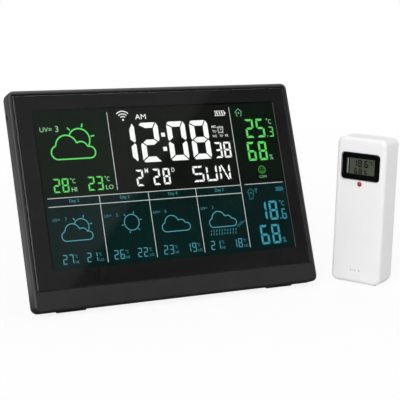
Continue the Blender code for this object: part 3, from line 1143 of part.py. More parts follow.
def make_looks():
    """Materials by name."""
    return {
        "case": material("case_black", (0.028, 0.028, 0.030), 0.42),
        "case_rear": material("case_rear_black", (0.030, 0.030, 0.032), 0.50),
        "key": material("key_black", (0.022, 0.022, 0.024), 0.45),
        "window": material("window_glass", (0.012, 0.013, 0.014), 0.04),
        "lcd": material("lcd_glass", (0.010, 0.014, 0.014), 0.10),
        "lcd_grey": material("lcd_grey", (0.32, 0.34, 0.30), 0.25),
        "light_guide": material("light_guide", (0.80, 0.80, 0.78), 0.35),
        "flex": material("flex_amber", (0.55, 0.25, 0.06), 0.40),
        "board": material("board_green", (0.02, 0.14, 0.05), 0.45),
        "board_dark": material("module_tin", (0.45, 0.46, 0.47), 0.35, 0.8),
        "black_part": material("part_black", (0.015, 0.015, 0.016), 0.45),
        "silicone": material("silicone_grey", (0.20, 0.20, 0.21), 0.70),
        "rubber": material("rubber_dark", (0.030, 0.030, 0.030), 0.80),
        "steel": material("steel_plated", (0.62, 0.62, 0.64), 0.30, 1.0),
        "cell": material("cell_sleeve", (0.10, 0.22, 0.45), 0.35, 0.3),
        "white": material("sensor_white", (0.86, 0.85, 0.86), 0.38),
        "led": material("led_red", (0.75, 0.02, 0.02), 0.15),
    }


def make_console(root):
    """Every piece of the console, in its leaning frame."""
    frame = new_frame("console_frame", root, (0, 0, CONSOLE_LIFT), (-CONSOLE_LEAN, 0, 0))
    make_front_case(frame)
    make_display(frame)
    rear_case = make_rear_case(frame)
    make_feet(frame, rear_case)
    make_stand(frame)
    make_console_cells(frame)
    make_console_contacts(frame)
    make_battery_door(frame)
    make_boards(frame)
    make_keypads(frame)
    make_keys(frame)
    make_snooze(frame)
    make_dc_jack(frame)
    make_case_screws(frame)


def make_sensor(root):
    """Every piece of the sensor, in its own turned frame on the table."""
    frame = new_frame("sensor_frame", root, (*SENSOR_PLACE, 0), (0, 0, SENSOR_TURN))
    make_sensor_front(frame)
    make_sensor_display(frame)
    make_sensor_rear(frame)
    make_sensor_controls(frame)
    make_sensor_door(frame)
    make_sensor_cells(frame)
    make_sensor_screws(frame)


def centre_on_origin(root):
    """Move the root so that the whole set's box has its bottom centre at the origin."""
    bpy.context.view_layer.update()
    graph = bpy.context.evaluated_depsgraph_get()
    points = []
    for part in PARTS.objects:
        if part.type == "EMPTY":
            continue
        shape = part.evaluated_get(graph)
        mesh = shape.to_mesh()
        points += [part.matrix_world @ v.co for v in mesh.vertices]
        shape.to_mesh_clear()
    low = Vector(min(p[i] for p in points) for i in range(3))
    high = Vector(max(p[i] for p in points) for i in range(3))
    root.location = (-(low.x + high.x) / 2, -(low.y + high.y) / 2, -low.z)


clear_scene()
PARTS = new_collection(OBJECT_NAME)
CUTTERS = new_collection("cutters")
LOOKS = make_looks()
ROOT = new_frame("weather_station_root")
make_console(ROOT)
make_sensor(ROOT)
centre_on_origin(ROOT)
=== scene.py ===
"""Looks of a home weather station: a leaning desk console and its outdoor sensor.

Every sub-assembly is a class that shapes its pieces in its own local axes, in metres:
x runs across the front, y from the front face back, and z up the front face. Artwork is
drawn in millimetres: on a display from the lower middle of its cell, and on a key or a
door from the mark's own middle.
"""

import json
import logging
import math
from abc import ABC, abstractmethod
from dataclasses import dataclass, field
from enum import Enum
from typing import Iterable, Optional, Sequence

import bmesh
import bpy
from mathutils import Matrix, Vector


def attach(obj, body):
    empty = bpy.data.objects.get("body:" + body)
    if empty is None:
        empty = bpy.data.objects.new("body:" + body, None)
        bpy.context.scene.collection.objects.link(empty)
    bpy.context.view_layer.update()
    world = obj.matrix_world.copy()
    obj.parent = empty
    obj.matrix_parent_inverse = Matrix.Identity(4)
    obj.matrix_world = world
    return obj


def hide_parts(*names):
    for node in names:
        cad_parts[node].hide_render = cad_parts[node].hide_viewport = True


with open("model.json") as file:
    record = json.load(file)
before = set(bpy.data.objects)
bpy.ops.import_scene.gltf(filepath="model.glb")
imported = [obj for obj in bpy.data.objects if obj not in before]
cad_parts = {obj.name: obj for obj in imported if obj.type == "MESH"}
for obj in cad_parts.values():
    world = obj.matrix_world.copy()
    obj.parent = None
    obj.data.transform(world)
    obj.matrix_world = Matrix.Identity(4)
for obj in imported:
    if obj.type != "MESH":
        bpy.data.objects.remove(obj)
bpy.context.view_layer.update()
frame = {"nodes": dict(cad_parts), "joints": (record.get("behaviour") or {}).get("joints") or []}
LOG = logging.getLogger("weather_station")

Pair = tuple[float, float]
Colour = tuple[float, float, float]
Cut = tuple[Pair, Pair]
Ends = tuple[float, float, float, float]
Mesh = bmesh.types.BMesh
Edges = list[bmesh.types.BMEdge]
Node = bpy.types.Node
Socket = bpy.types.NodeSocket

MM = 0.001
SIDES = (-1, 1)
# distances below which points count as near and as the same, and a letter's are merged
NEAR = 1e-6
SAME = 1e-7
LETTER_MERGE = 1e-4
# angles above which an edge is sharp, below which faces are joined, above which an arc
# closes to a ring, and of one step of an arc, then an arc's least number of steps
SHARP = math.radians(40)
FLAT = math.radians(0.4)
FULL_TURN = math.tau - 1e-4
ARC_STEP = math.radians(11)
ARC_LEAST = 3
# faces round a turned piece, a turn of a spring, a wire, a disc and a letter's curve
TURN_STEPS = 32
COIL_STEPS = 24
WIRE_SIDES = 8
DISC_SIDES = 20
LETTER_STEPS = 3
# height of a capital as a share of the letter size
CAPITAL = 0.7
# crease angles in degrees for window edges, and for coils and lenses
GLASS_CREASE = 12.0
ROUND_CREASE = 50.0
QUARTER_UP = Matrix.Rotation(math.pi / 2, 4, "X")


class Slot(Enum):
    """Material slots of the record."""

    CASE = "case_black"
    REAR = "case_rear_black"
    KEY = "key_black"
    WINDOW = "window_glass"
    DISPLAY = "lcd_glass"
    GREY_DISPLAY = "lcd_grey"
    LIGHT_GUIDE = "light_guide"
    FLEX = "flex_amber"
    BOARD = "board_green"
    TIN = "module_tin"
    BLACK_PART = "part_black"
    SILICONE = "silicone_grey"
    RUBBER = "rubber_dark"
    STEEL = "steel_plated"
    SLEEVE = "cell_sleeve"
    WHITE = "sensor_white"
    LED = "led_red"


# ---- places

@dataclass(frozen=True)
class Box:
    """Lowest and highest corner of a piece in its assembly's axes."""

    low: Vector
    high: Vector

    @property
    def middle(self) -> Vector:
        """Centre of the box."""
        return (self.low + self.high) / 2

    @property
    def size(self) -> Vector:
        """Extent of the box along each axis."""
        return self.high - self.low

    def inset(self, margin: float) -> "Box":
        """The box with its sides, foot and top moved in by a margin."""
        step = Vector((margin, 0.0, margin))
        return Box(self.low + step, self.high - step)


@dataclass(frozen=True)
class LocalAxes:
    """Axes and origin of one assembly."""

    back: Vector
    up: Vector
    origin: Vector = field(default_factory=Vector)

    @classmethod
    def of_shell(cls, shell: str, back: Vector, up: Vector) -> "LocalAxes":
        """Axes with their origin at the front lower middle of a shell.

        Args:
            shell: CAD node that spans the assembly's front.
            back: direction from the front face to the back.
            up: direction up the front face.

        Returns:
            The assembly's axes.
        """
        bare = cls(back, up)
        box = bare.box(shell)
        return cls(back, up, bare.to_world(Vector((box.middle.x, box.low.y, box.low.z))))

    @property
    def matrix(self) -> Matrix:
        """Transform from these axes to the shared frame."""
        turn = Matrix((self.back.cross(self.up), self.back, self.up)).transposed()
        return Matrix.Translation(self.origin) @ turn.to_4x4()

    def to_world(self, point: Vector) -> Vector:
        """A local point in the shared frame."""
        return self.matrix @ point

    def box(self, node: str) -> Box:
        """Box of a CAD node at rest, measured along these axes.

        Args:
            node: name of the CAD node.

        Returns:
            The box round it.
        """
        inverse = self.matrix.inverted()
        points = [inverse @ v.co for v in frame["nodes"][node].data.vertices]
        low, high = (Vector(pick(p[i] for p in points) for i in range(3)) for pick in (min, max))
        return Box(low, high)


def joint_axis(name: str) -> Vector:
    """Direction of a joint of the record."""
    found = next(j for j in frame["joints"] if j["name"] == name)
    return Vector(found["axis"]).normalized()


# ---- finishes

class NodeGraph:
    """Node tree with short ways to add, link and mix its nodes."""

    def __init__(self, tree: bpy.types.NodeTree) -> None:
        """Take up a tree."""
        self.tree = tree

    def add(self, kind: str, inputs: Optional[dict[object, object]] = None, **options: str
            ) -> Node:
        """Add a node.

        Args:
            kind: its type, without the leading ShaderNode.
            inputs: an output to link or a value to set, by the input's name or number.
            options: properties of the node.

        Returns:
            The node.
        """
        node = self.tree.nodes.new("ShaderNode" + kind)
        for name, value in options.items():
            setattr(node, name, value)
        for name, value in (inputs or {}).items():
            self.feed(node.inputs[name], value)
        return node

    def feed(self, socket: Socket, value: object) -> None:
        """Link an output to an input, or set the input to a value.

        Args:
            socket: the input.
            value: the output or the value; a colour needs no alpha.
        """
        if isinstance(value, Socket):
            self.tree.links.new(value, socket)
        else:
            socket.default_value = (*value, 1.0) if socket.type == "RGBA" else value

    def spread(self, factor: Socket, low: float, high: float, start: float = 0.3,
               stop: float = 0.7, ease: str = "LINEAR") -> Socket:
        """Map a factor to another range.

        Args:
            factor: the factor.
            low: result at the start.
            high: result at the stop.
            start: where the factor's range starts.
            stop: where it stops.
            ease: how the result runs in between.

        Returns:
            The mapped factor.
        """
        ends = {"From Min": start, "From Max": stop, "To Min": low, "To Max": high}
        node = self.add("MapRange", {"Value": factor, **ends}, interpolation_type=ease)
        return node.outputs["Result"]

    def ramp(self, factor: Socket, stops: Sequence[tuple[float, Colour]]) -> Socket:
        """Colours read along a factor.

        Args:
            factor: the pattern that chooses the colour.
            stops: positions from 0 to 1 and their colours.

        Returns:
            The colour output.
        """
        node = self.add("ValToRGB", {"Fac": factor})
        elements = node.color_ramp.elements
        while len(elements) < len(stops):
            elements.new(0.5)
        for element, (position, colour) in zip(elements, stops):
            element.position, element.color = position, (*colour, 1.0)
        return node.outputs["Color"]

    def mixed(self, factor: Socket, first: Socket, second: Socket) -> Socket:
        """Two shaders mixed by a factor."""
        return self.add("MixShader", {"Fac": factor, 1: first, 2: second}).outputs["Shader"]

    def mirror_rays(self, path: Node) -> Socket:
        """A factor that is 1 for rays that come by a mirror or through glass."""
        rays = {0: path.outputs["Is Glossy Ray"], 1: path.outputs["Is Transmission Ray"]}
        return self.add("Math", rays, operation="MAXIMUM").outputs["Value"]


class NodeSheet(NodeGraph):
    """Nodes of one finish, with the pattern steps that the finishes share."""

    def __init__(self, name: str) -> None:
        """Start a material whose patterns read Object coordinates.

        Args:
            name: name of the material.
        """
        self.material = bpy.data.materials.new(name)
        self.material.use_nodes = True
        super().__init__(self.material.node_tree)
        self.shader = self.tree.nodes["Principled BSDF"]
        self.place = self.add("TexCoord").outputs["Object"]

    def set(self, **sockets: object) -> None:
        """Feed sockets of the shader; underscores stand for spaces."""
        for name, value in sockets.items():
            self.feed(self.shader.inputs[name.replace("_", " ")], value)

    def placed(self, stretch: Colour = (1.0, 1.0, 1.0), turn: Colour = (0.0, 0.0, 0.0)
               ) -> Socket:
        """Object coordinates stretched by a factor and turned, in radians, on each axis."""
        parts = {"Vector": self.place, "Scale": stretch, "Rotation": turn}
        return self.add("Mapping", parts).outputs["Vector"]

    def noise(self, grain: float, detail: float = 2.0, rough: float = 0.5,
              stretch: Colour = (1.0, 1.0, 1.0), turn: Colour = (0.0, 0.0, 0.0)) -> Socket:
        """Cloudy pattern.

        Args:
            grain: width of one patch in metres.
            detail: number of finer octaves.
            rough: weight of the finer octaves.
            stretch: factor along each axis.
            turn: turn about each axis in radians.

        Returns:
            The factor output.
        """
        parts = {"Vector": self.placed(stretch, turn), "Scale": 1.0 / grain,
                 "Detail": detail, "Roughness": rough}
        return self.add("TexNoise", parts).outputs["Fac"]

    def cells(self, grain: float) -> Socket:
        """Distance pattern of scattered cells, grain metres apart."""
        parts = {"Vector": self.placed(), "Scale": 1.0 / grain}
        return self.add("TexVoronoi", parts).outputs["Distance"]

    def tone(self, pattern: Socket, colour: Colour, darker: float, lighter: float,
             reach: float = 0.2) -> Socket:
        """A colour that drifts along a pattern.

        Args:
            pattern: the pattern.
            colour: the colour between the two ends.
            darker: share that the dark end takes off it.
            lighter: share that the light end adds to it.
            reach: how far from the pattern's middle the ends lie.

        Returns:
            The colour output.
        """
        return self.ramp(pattern, ((0.5 - reach, tinted(colour, -darker)),
                                   (0.5 + reach, tinted(colour, lighter))))

    def bump(self, height: Socket, depth: float, strength: float = 1.0,
             under: Optional[Socket] = None) -> Socket:
        """Surface relief from a height pattern.

        Args:
            height: the pattern.
            depth: height of the relief in metres.
            strength: weight of the relief.
            under: normal output of coarser relief under this one.

        Returns:
            The normal output, already linked to the shader.
        """
        parts = {"Height": height, "Distance": depth, "Strength": strength}
        if under is not None:
            parts["Normal"] = under
        normal = self.add("Bump", parts).outputs["Normal"]
        self.set(Normal=normal)
        return normal


def tinted(colour: Colour, share: float) -> Colour:
    """A colour made lighter or darker by a share of itself."""
    return tuple(max(0.0, c * (1.0 + share)) for c in colour)


@dataclass(frozen=True)
class Finish(ABC):
    """A named finish, whose material is made once."""

    name: str

    def material(self) -> bpy.types.Material:
        """The finish's material.

        Returns:
            The material, made at the first call.
        """
        made = bpy.data.materials.get(self.name)
        if made is None:
            sheet = NodeSheet(self.name)
            self.mix(sheet)
            made = sheet.material
        return made

    @abstractmethod
    def mix(self, sheet: NodeSheet) -> None:
        """Lay the finish's nodes on an empty sheet."""


@dataclass(frozen=True)
class MouldedPlastic(Finish):
    """Injection-moulded plastic with a spark-eroded grain and faint handling marks."""

    colour: Colour
    roughness: Pair = (0.40, 0.48)
    # share of the colour's drift, then width and height of the grain and width of a patch
    shade: float = 0.05
    grain: float = 0.00035
    depth: float = 0.000004
    patch: float = 0.028

    def mix(self, sheet: NodeSheet) -> None:
        """Lay the colour drift, the worn sheen, the moulding's flow and the grain.

        Args:
            sheet: the finish's empty sheet.
        """
        drift, worn = sheet.noise(self.patch, 3.0), sheet.noise(self.patch / 3, 5.0, 0.6)
        sheet.set(Base_Color=sheet.tone(drift, self.colour, self.shade, self.shade),
                  Roughness=sheet.spread(worn, *self.roughness))
        flow = sheet.bump(sheet.noise(self.patch / 2, 1.0), self.depth * 4, 0.4)
        sheet.bump(sheet.noise(self.grain, 3.0, 0.6), self.depth, 0.8, flow)


@dataclass(frozen=True)
class PolishedWindow(Finish):
    """Clear acrylic window with faint wiping marks."""

    def mix(self, sheet: NodeSheet) -> None:
        """Lay the clear body and its slightly uneven polish.

        Args:
            sheet: the finish's empty sheet.
        """
        wiped = sheet.noise(0.012, 4.0, 0.6, (1.0, 1.0, 3.0), (0.0, 0.5, 0.0))
        sheet.set(Base_Color=(0.97, 0.985, 0.98), Transmission_Weight=1.0, IOR=1.49,
                  Roughness=sheet.spread(wiped, 0.0, 0.03, 0.45, 0.8))


@dataclass(frozen=True)
class BackPrint(Finish):
    """Opaque ink printed behind a window, with the mesh of its screen."""

    colour: Colour

    def mix(self, sheet: NodeSheet) -> None:
        """Lay the ink's slight unevenness and its screen mesh.

        Args:
            sheet: the finish's empty sheet.
        """
        sheet.set(Base_Color=sheet.tone(sheet.noise(0.03, 2.0), self.colour, 0.08, 0.08),
                  Roughness=sheet.spread(sheet.noise(0.004, 3.0), 0.55, 0.7),
                  Specular_IOR_Level=0.05)
        sheet.bump(sheet.noise(0.0002, 1.0), 0.000002, 0.5)


@dataclass(frozen=True)
class LitArt(Finish):
    """Lit display segments with the backlight's faint unevenness."""

    colour: Colour
    strength: float = 1.0

    def mix(self, sheet: NodeSheet) -> None:
        """Lay the glow over a dark body.

        Args:
            sheet: the finish's empty sheet.
        """
        glow = sheet.tone(sheet.noise(0.007, 2.0), self.colour, 0.07, 0.05)
        sheet.set(Base_Color=(0.01, 0.01, 0.01), Roughness=0.6, Specular_IOR_Level=0.1,
                  Emission_Color=glow, Emission_Strength=self.strength)


@dataclass(frozen=True)
class DisplayField(Finish):
    """Dark field of a negative display, where a little of the backlight leaks through."""

    colour: Colour
    drift: float = 0.25

    def mix(self, sheet: NodeSheet) -> None:
        """Lay the leaking light, its slow drift and the cell's fine texture.

        Args:
            sheet: the finish's empty sheet.
        """
        leak = sheet.tone(sheet.noise(0.022, 2.0), self.colour, self.drift, self.drift, 0.25)
        sheet.set(Base_Color=(0.002, 0.002, 0.002), Specular_IOR_Level=0.1,
                  Emission_Color=leak, Emission_Strength=1.0,
                  Roughness=sheet.spread(sheet.noise(0.0004, 2.0), 0.5, 0.62))


@dataclass(frozen=True)
class DisplayGlass(Finish):
    """Edge and border of a display's glass cell, or a pale painted glint on such an edge."""

    colour: Colour
    roughness: Pair = (0.12, 0.2)

    def mix(self, sheet: NodeSheet) -> None:
        """Lay the glass's dull tone and its polish.

        Args:
            sheet: the finish's empty sheet.
        """
        sheet.set(Base_Color=sheet.tone(sheet.noise(0.01, 2.0), self.colour, 0.1, 0.1),
                  Roughness=sheet.spread(sheet.noise(0.003, 3.0), *self.roughness),
                  Specular_IOR_Level=0.05)


@dataclass(frozen=True)
class Rubber(Finish):
    """Moulded rubber or silicone with a matt, slightly dusty skin."""

    colour: Colour
    dust: Colour
    roughness: Pair = (0.7, 0.85)

    def mix(self, sheet: NodeSheet) -> None:
        """Lay the dusty tone and the matt skin.

        Args:
            sheet: the finish's empty sheet.
        """
        speck = sheet.noise(0.0012, 6.0, 0.7)
        sheet.set(Base_Color=sheet.ramp(speck, ((0.5, self.colour), (0.78, self.dust))),
                  Roughness=sheet.spread(speck, *self.roughness))
        sheet.bump(sheet.noise(0.00025, 3.0), 0.00001, 0.6)


@dataclass(frozen=True)
class PlatedSteel(Finish):
    """Drawn and plated metal with fine lines along one direction."""

    colour: Colour
    roughness: Pair = (0.2, 0.36)
    stretch: Colour = (0.05, 1.0, 1.0)

    def mix(self, sheet: NodeSheet) -> None:
        """Lay the plating's tone, lines and dull spots.

        Args:
            sheet: the finish's empty sheet.
        """
        lines = sheet.noise(0.0003, 3.0, 0.6, self.stretch)
        sheet.set(Base_Color=sheet.tone(sheet.noise(0.002, 3.0), self.colour, 0.12, 0.0),
                  Metallic=1.0, Roughness=sheet.spread(lines, *self.roughness))
        sheet.bump(lines, 0.000003, 0.5)


@dataclass(frozen=True)
class SolderMask(Finish):
    """Circuit board: lacquer over copper runs, with tinned pads showing through."""

    colour: Colour

    def mix(self, sheet: NodeSheet) -> None:
        """Lay the runs, the pads and the lacquer.

        Args:
            sheet: the finish's empty sheet.
        """
        shades = {name: tinted(self.colour, share)
                  for name, share in (("Color1", 0.0), ("Color2", -0.25), ("Mortar", 0.8))}
        runs = sheet.add("TexBrick", {
            "Vector": sheet.placed(turn=(math.pi / 2, 0.0, 0.0)), "Scale": 90.0,
            "Mortar Size": 0.06, "Brick Width": 0.9, "Row Height": 0.22, **shades})
        pads = sheet.ramp(sheet.cells(0.005), ((0.10, (1.0,) * 3), (0.13, (0.0,) * 3)))
        tin = sheet.ramp(sheet.noise(0.001),
                         ((0.3, (0.45, 0.44, 0.40)), (0.7, (0.6, 0.6, 0.57))))
        lacquer = sheet.add("Mix", {0: pads, 6: runs.outputs["Color"], 7: tin},
                            data_type="RGBA")
        sheet.set(Base_Color=lacquer.outputs[2],
                  Roughness=sheet.spread(sheet.noise(0.002, 3.0), 0.28, 0.42))
        sheet.bump(runs.outputs["Fac"], 0.00003, 0.5)


@dataclass(frozen=True)
class FlexTail(Finish):
    """Amber flexible circuit with its copper lines running along it."""

    def mix(self, sheet: NodeSheet) -> None:
        """Lay the copper lines under the amber film.

        Args:
            sheet: the finish's empty sheet.
        """
        lines = sheet.add("TexWave", {"Vector": sheet.placed(), "Scale": 320.0},
                          bands_direction="X").outputs["Fac"]
        copper = sheet.ramp(lines, ((0.45, (0.50, 0.20, 0.04)), (0.6, (0.72, 0.38, 0.12))))
        sheet.set(Base_Color=copper, Roughness=sheet.spread(sheet.noise(0.003), 0.25, 0.4))
        sheet.bump(lines, 0.00002, 0.5)


@dataclass(frozen=True)
class CellJacket(Finish):
    """Printed sleeve of a dry cell with fine shrink marks."""

    colour: Colour
    band: Colour

    def mix(self, sheet: NodeSheet) -> None:
        """Lay the sleeve's sheen and its shrink marks.

        Args:
            sheet: the finish's empty sheet.
        """
        marks = sheet.noise(0.0015, 4.0, 0.6)
        sheet.set(Base_Color=sheet.ramp(marks, ((0.35, self.colour), (0.75, self.band))),
                  Metallic=0.35, Roughness=sheet.spread(marks, 0.25, 0.38))
        sheet.bump(marks, 0.00001, 0.3)


@dataclass(frozen=True)
class LightGuide(Finish):
    """White frame and acrylic guide with its pattern of light-spreading dots."""

    def mix(self, sheet: NodeSheet) -> None:
        """Lay the dots in milky acrylic.

        Args:
            sheet: the finish's empty sheet.
        """
        dots = sheet.cells(0.0012)
        milk = sheet.ramp(dots, ((0.2, (0.92, 0.92, 0.9)), (0.4, (0.78, 0.79, 0.78))))
        sheet.set(Base_Color=milk, Subsurface_Weight=0.2, Subsurface_Radius=(0.002,) * 3,
                  Roughness=sheet.spread(dots, 0.3, 0.42, 0.1, 0.6))
        sheet.bump(dots, 0.00002, 0.4)


@dataclass(frozen=True)
class RedLens(Finish):
    """Tinted clear lens of the sensor's light."""

    colour: Colour

    def mix(self, sheet: NodeSheet) -> None:
        """Lay the tinted body with its moulding swirl.

        Args:
            sheet: the finish's empty sheet.
        """
        swirl = sheet.noise(0.0008, 2.0)
        sheet.set(Base_Color=sheet.tone(swirl, self.colour, 0.2, 0.15), Coat_Weight=0.6,
                  Coat_Roughness=0.05, Roughness=sheet.spread(swirl, 0.1, 0.2),
                  Subsurface_Weight=0.3, Subsurface_Radius=(0.001, 0.0002, 0.0002))


@dataclass(frozen=True)
class GreyCell(Finish):
    """Reflective grey-green display, greener where it is thick."""

    colour: Colour
    shade: Colour

    def mix(self, sheet: NodeSheet) -> None:
        """Lay the display's olive drift and satin polariser."""
        olive = sheet.ramp(sheet.noise(0.012, 1.0), ((0.35, self.shade), (0.65, self.colour)))
        sheet.set(Base_Color=olive, Roughness=sheet.spread(sheet.noise(0.0004), 0.35, 0.45))


BLACK_CASE = MouldedPlastic("satin_black_case", (0.019, 0.019, 0.020), (0.34, 0.44))
BLACK_REAR = MouldedPlastic("sparked_black_case", (0.030, 0.030, 0.032), (0.46, 0.56),
                            grain=0.00045, depth=0.000010)
BLACK_KEY = MouldedPlastic("smooth_black_key", (0.022, 0.022, 0.024), (0.36, 0.46),
                           depth=0.000002)
BLACK_PART = MouldedPlastic("black_component", (0.015, 0.015, 0.016), (0.42, 0.55))
WHITE_CASE = MouldedPlastic("satin_white_case", (0.86, 0.85, 0.86), (0.36, 0.46), shade=0.012)
LEGEND_INK = MouldedPlastic("pale_legend_ink", (0.55, 0.56, 0.57), (0.5, 0.6))
CLEAR_WINDOW = PolishedWindow("clear_window")
BORDER_INK = BackPrint("border_ink", (0.027, 0.026, 0.027))
# the sensor's black print, also used for its display's digits and for a dark strip of painted
# shadow beside them
SENSOR_INK_AND_PAINTED_SHADOW = BackPrint("sensor_ink_and_painted_shadow", (0.004, 0.004, 0.0045))
SEAL_GREY = BackPrint("seal_grey", (0.20, 0.19, 0.20))
CELL_GLASS = DisplayGlass("display_glass", (0.004, 0.005, 0.005))
# painted highlight: a pale glint along the left edge of the sensor display's glass
PAINTED_GLINT = DisplayGlass("painted_glint_on_glass_edge", (0.85, 0.86, 0.78))
DARK_RUBBER = Rubber("dark_rubber", (0.028, 0.028, 0.028), (0.06, 0.058, 0.055))
GREY_SILICONE = Rubber("grey_silicone", (0.19, 0.19, 0.20), (0.26, 0.26, 0.26), (0.55, 0.7))
NICKEL = PlatedSteel("nickel_plate", (0.66, 0.65, 0.62))
TIN_SHIELD = PlatedSteel("tinned_shield", (0.55, 0.56, 0.57), (0.28, 0.45))
GREEN_BOARD = SolderMask("green_board", (0.012, 0.10, 0.035))
AMBER_FLEX = FlexTail("amber_flex")
BLUE_SLEEVE = CellJacket("cell_jacket", (0.07, 0.17, 0.38), (0.12, 0.26, 0.5))
PALE_BAND = CellJacket("cell_band", (0.55, 0.57, 0.60), (0.68, 0.69, 0.70))
MILKY_GUIDE = LightGuide("milky_light_guide")
RED_LENS = RedLens("red_lens", (0.38, 0.004, 0.02))
OLIVE_CELL = GreyCell("olive_cell", (0.19, 0.20, 0.13), (0.14, 0.165, 0.12))

KEPT_FINISHES: dict[Slot, Finish] = {
    Slot.CASE: BLACK_CASE, Slot.REAR: BLACK_REAR, Slot.KEY: BLACK_KEY,
    Slot.WINDOW: CLEAR_WINDOW, Slot.DISPLAY: CELL_GLASS, Slot.GREY_DISPLAY: OLIVE_CELL,
    Slot.LIGHT_GUIDE: MILKY_GUIDE, Slot.FLEX: AMBER_FLEX, Slot.BOARD: GREEN_BOARD,
    Slot.TIN: TIN_SHIELD, Slot.BLACK_PART: BLACK_PART, Slot.SILICONE: GREY_SILICONE,
    Slot.RUBBER: DARK_RUBBER, Slot.STEEL: NICKEL, Slot.SLEEVE: BLUE_SLEEVE,
    Slot.WHITE: WHITE_CASE, Slot.LED: RED_LENS,
}


# ---- shaping steps

def everything(bm: Mesh) -> list[object]:
    """All vertices, edges and faces of a piece."""
    return bm.verts[:] + bm.edges[:] + bm.faces[:]


def block(box: Box) -> Mesh:
    """Start a piece from a block.

    Args:
        box: the box that it fills.

    Returns:
        The block.
    """
    bm = bmesh.new()
    bmesh.ops.create_cube(bm, size=1.0)
    bmesh.ops.scale(bm, vec=box.size, verts=bm.verts)
    bmesh.ops.translate(bm, vec=box.middle, verts=bm.verts)
    return bm


def sheet_between(low: Pair, high: Pair) -> Mesh:
    """Start a flat piece from a rectangle that lies level.

    Args:
        low: its lower left corner.
        high: its upper right corner.

    Returns:
        The rectangle.
    """
    bm = bmesh.new()
    bmesh.ops.create_grid(bm, x_segments=1, y_segments=1, size=0.5)
    bmesh.ops.scale(bm, vec=(high[0] - low[0], high[1] - low[1], 1.0), verts=bm.verts)
    middle = ((low[0] + high[0]) / 2, (low[1] + high[1]) / 2, 0.0)
    bmesh.ops.translate(bm, vec=middle, verts=bm.verts)
    return bm


def round_edges(bm: Mesh, edges: Iterable[bmesh.types.BMEdge], radius: float,
                segments: int = 3) -> None:
    """Round or chamfer edges.

    Args:
        bm: the piece.
        edges: edges to round.
        radius: radius of the round.
        segments: faces across the round; one gives a chamfer.
    """
    bmesh.ops.bevel(bm, geom=list(edges), offset=radius, offset_type="OFFSET",
                    segments=segments, profile=0.5, affect="EDGES", material=-1,
                    clamp_overlap=True)


def edges_along(bm: Mesh, axis: int) -> Edges:
    """Straight edges that run along one axis.

    Args:
        bm: the piece.
        axis: number of the axis.

    Returns:
        The edges.
    """
    runs = ((edge, edge.verts[0].co - edge.verts[1].co) for edge in bm.edges)
    return [edge for edge, run in runs
            if all(abs(run[i]) < SAME for i in range(3) if i != axis)]


def edges_in_plane(bm: Mesh, axis: int, place: float) -> Edges:
    """Edges whose two ends lie in a plane across one axis."""
    return [e for e in bm.edges if all(abs(v.co[axis] - place) < NEAR for v in e.verts)]


def sharp_edges(bm: Mesh) -> Edges:
    """Outward edges where two faces meet at more than the sharp angle."""
    return [e for e in bm.edges
            if len(e.link_faces) == 2 and e.is_convex and e.calc_face_angle() > SHARP]


def rounded_block(box: Box, corner: float, front: float = 0.0, back: float = 0.0,
                  corner_segments: int = 6, edge_segments: int = 3) -> Mesh:
    """Block with rounded corners and a rounded front or back outline.

    Args:
        box: the block's box.
        corner: radius of the edges that run front to back.
        front: radius of the front outline.
        back: radius of the back outline.
        corner_segments: faces across each corner.
        edge_segments: faces across each outline.

    Returns:
        The shaped piece.
    """
    bm = block(box)
    round_edges(bm, edges_along(bm, 1), corner, corner_segments)
    for radius, place in ((front, box.low.y), (back, box.high.y)):
        if radius > 0:
            round_edges(bm, edges_in_plane(bm, 1, place), radius, edge_segments)
    return bm


def step_face(bm: Mesh, side: int, margin: float, rise: float) -> None:
    """Step the middle of a piece's end face in from its outline.

    Args:
        bm: the piece.
        side: 1 for the back face, -1 for the front face.
        margin: width of the slope round the middle.
        rise: how far the middle stands out.
    """
    face = max(bm.faces, key=lambda f: f.calc_center_median().y * side)
    bmesh.ops.inset_region(bm, faces=[face], thickness=margin, depth=rise,
                           use_even_offset=True)


def cut_window(bm: Mesh, rise: int, low: Pair, high: Pair) -> None:
    """Cut a rectangular opening through a flat or thin piece.

    Args:
        bm: the piece.
        rise: the axis that is the opening's height.
        low: lower left corner of the opening.
        high: its upper right corner.
    """
    for side, axis in enumerate((0, rise)):
        normal = Vector((0.0, 0.0, 0.0))
        normal[axis] = 1.0
        for place in (low[side], high[side]):
            bmesh.ops.bisect_plane(bm, geom=everything(bm), dist=SAME,
                                   plane_co=normal * place, plane_no=normal)
    inside = [f for f in bm.faces
              if all(low[side] < f.calc_center_median()[axis] < high[side]
                     for side, axis in enumerate((0, rise)))]
    bmesh.ops.delete(bm, geom=inside, context="FACES")


def thickened(bm: Mesh, thickness: float, place: Matrix) -> Mesh:
    """Give a flat piece a thickness and put it in its place.

    Args:
        bm: the flat piece, level and facing up.
        thickness: its thickness.
        place: transform to its place.

    Returns:
        The same piece.
    """
    swept = bmesh.ops.extrude_face_region(bm, geom=bm.faces[:])
    upper = [v for v in swept["geom"] if isinstance(v, bmesh.types.BMVert)]
    bmesh.ops.translate(bm, vec=(0.0, 0.0, thickness), verts=upper)
    bmesh.ops.transform(bm, matrix=place, verts=bm.verts)
    bmesh.ops.recalc_face_normals(bm, faces=bm.faces)
    return bm


def merged_copy(node: str, axes: LocalAxes) -> Mesh:
    """Copy of a CAD node with its loose triangles joined into clean faces.

    Args:
        node: name of the CAD node.
        axes: local axes that the copy is given in.

    Returns:
        The joined copy.
    """
    bm = bmesh.new()
    bm.from_mesh(frame["nodes"][node].data)
    bmesh.ops.transform(bm, matrix=axes.matrix.inverted(), verts=bm.verts)
    bmesh.ops.remove_doubles(bm, verts=bm.verts, dist=NEAR * 2)
    bmesh.ops.dissolve_limit(bm, angle_limit=FLAT, verts=bm.verts, edges=bm.edges)
    return bm


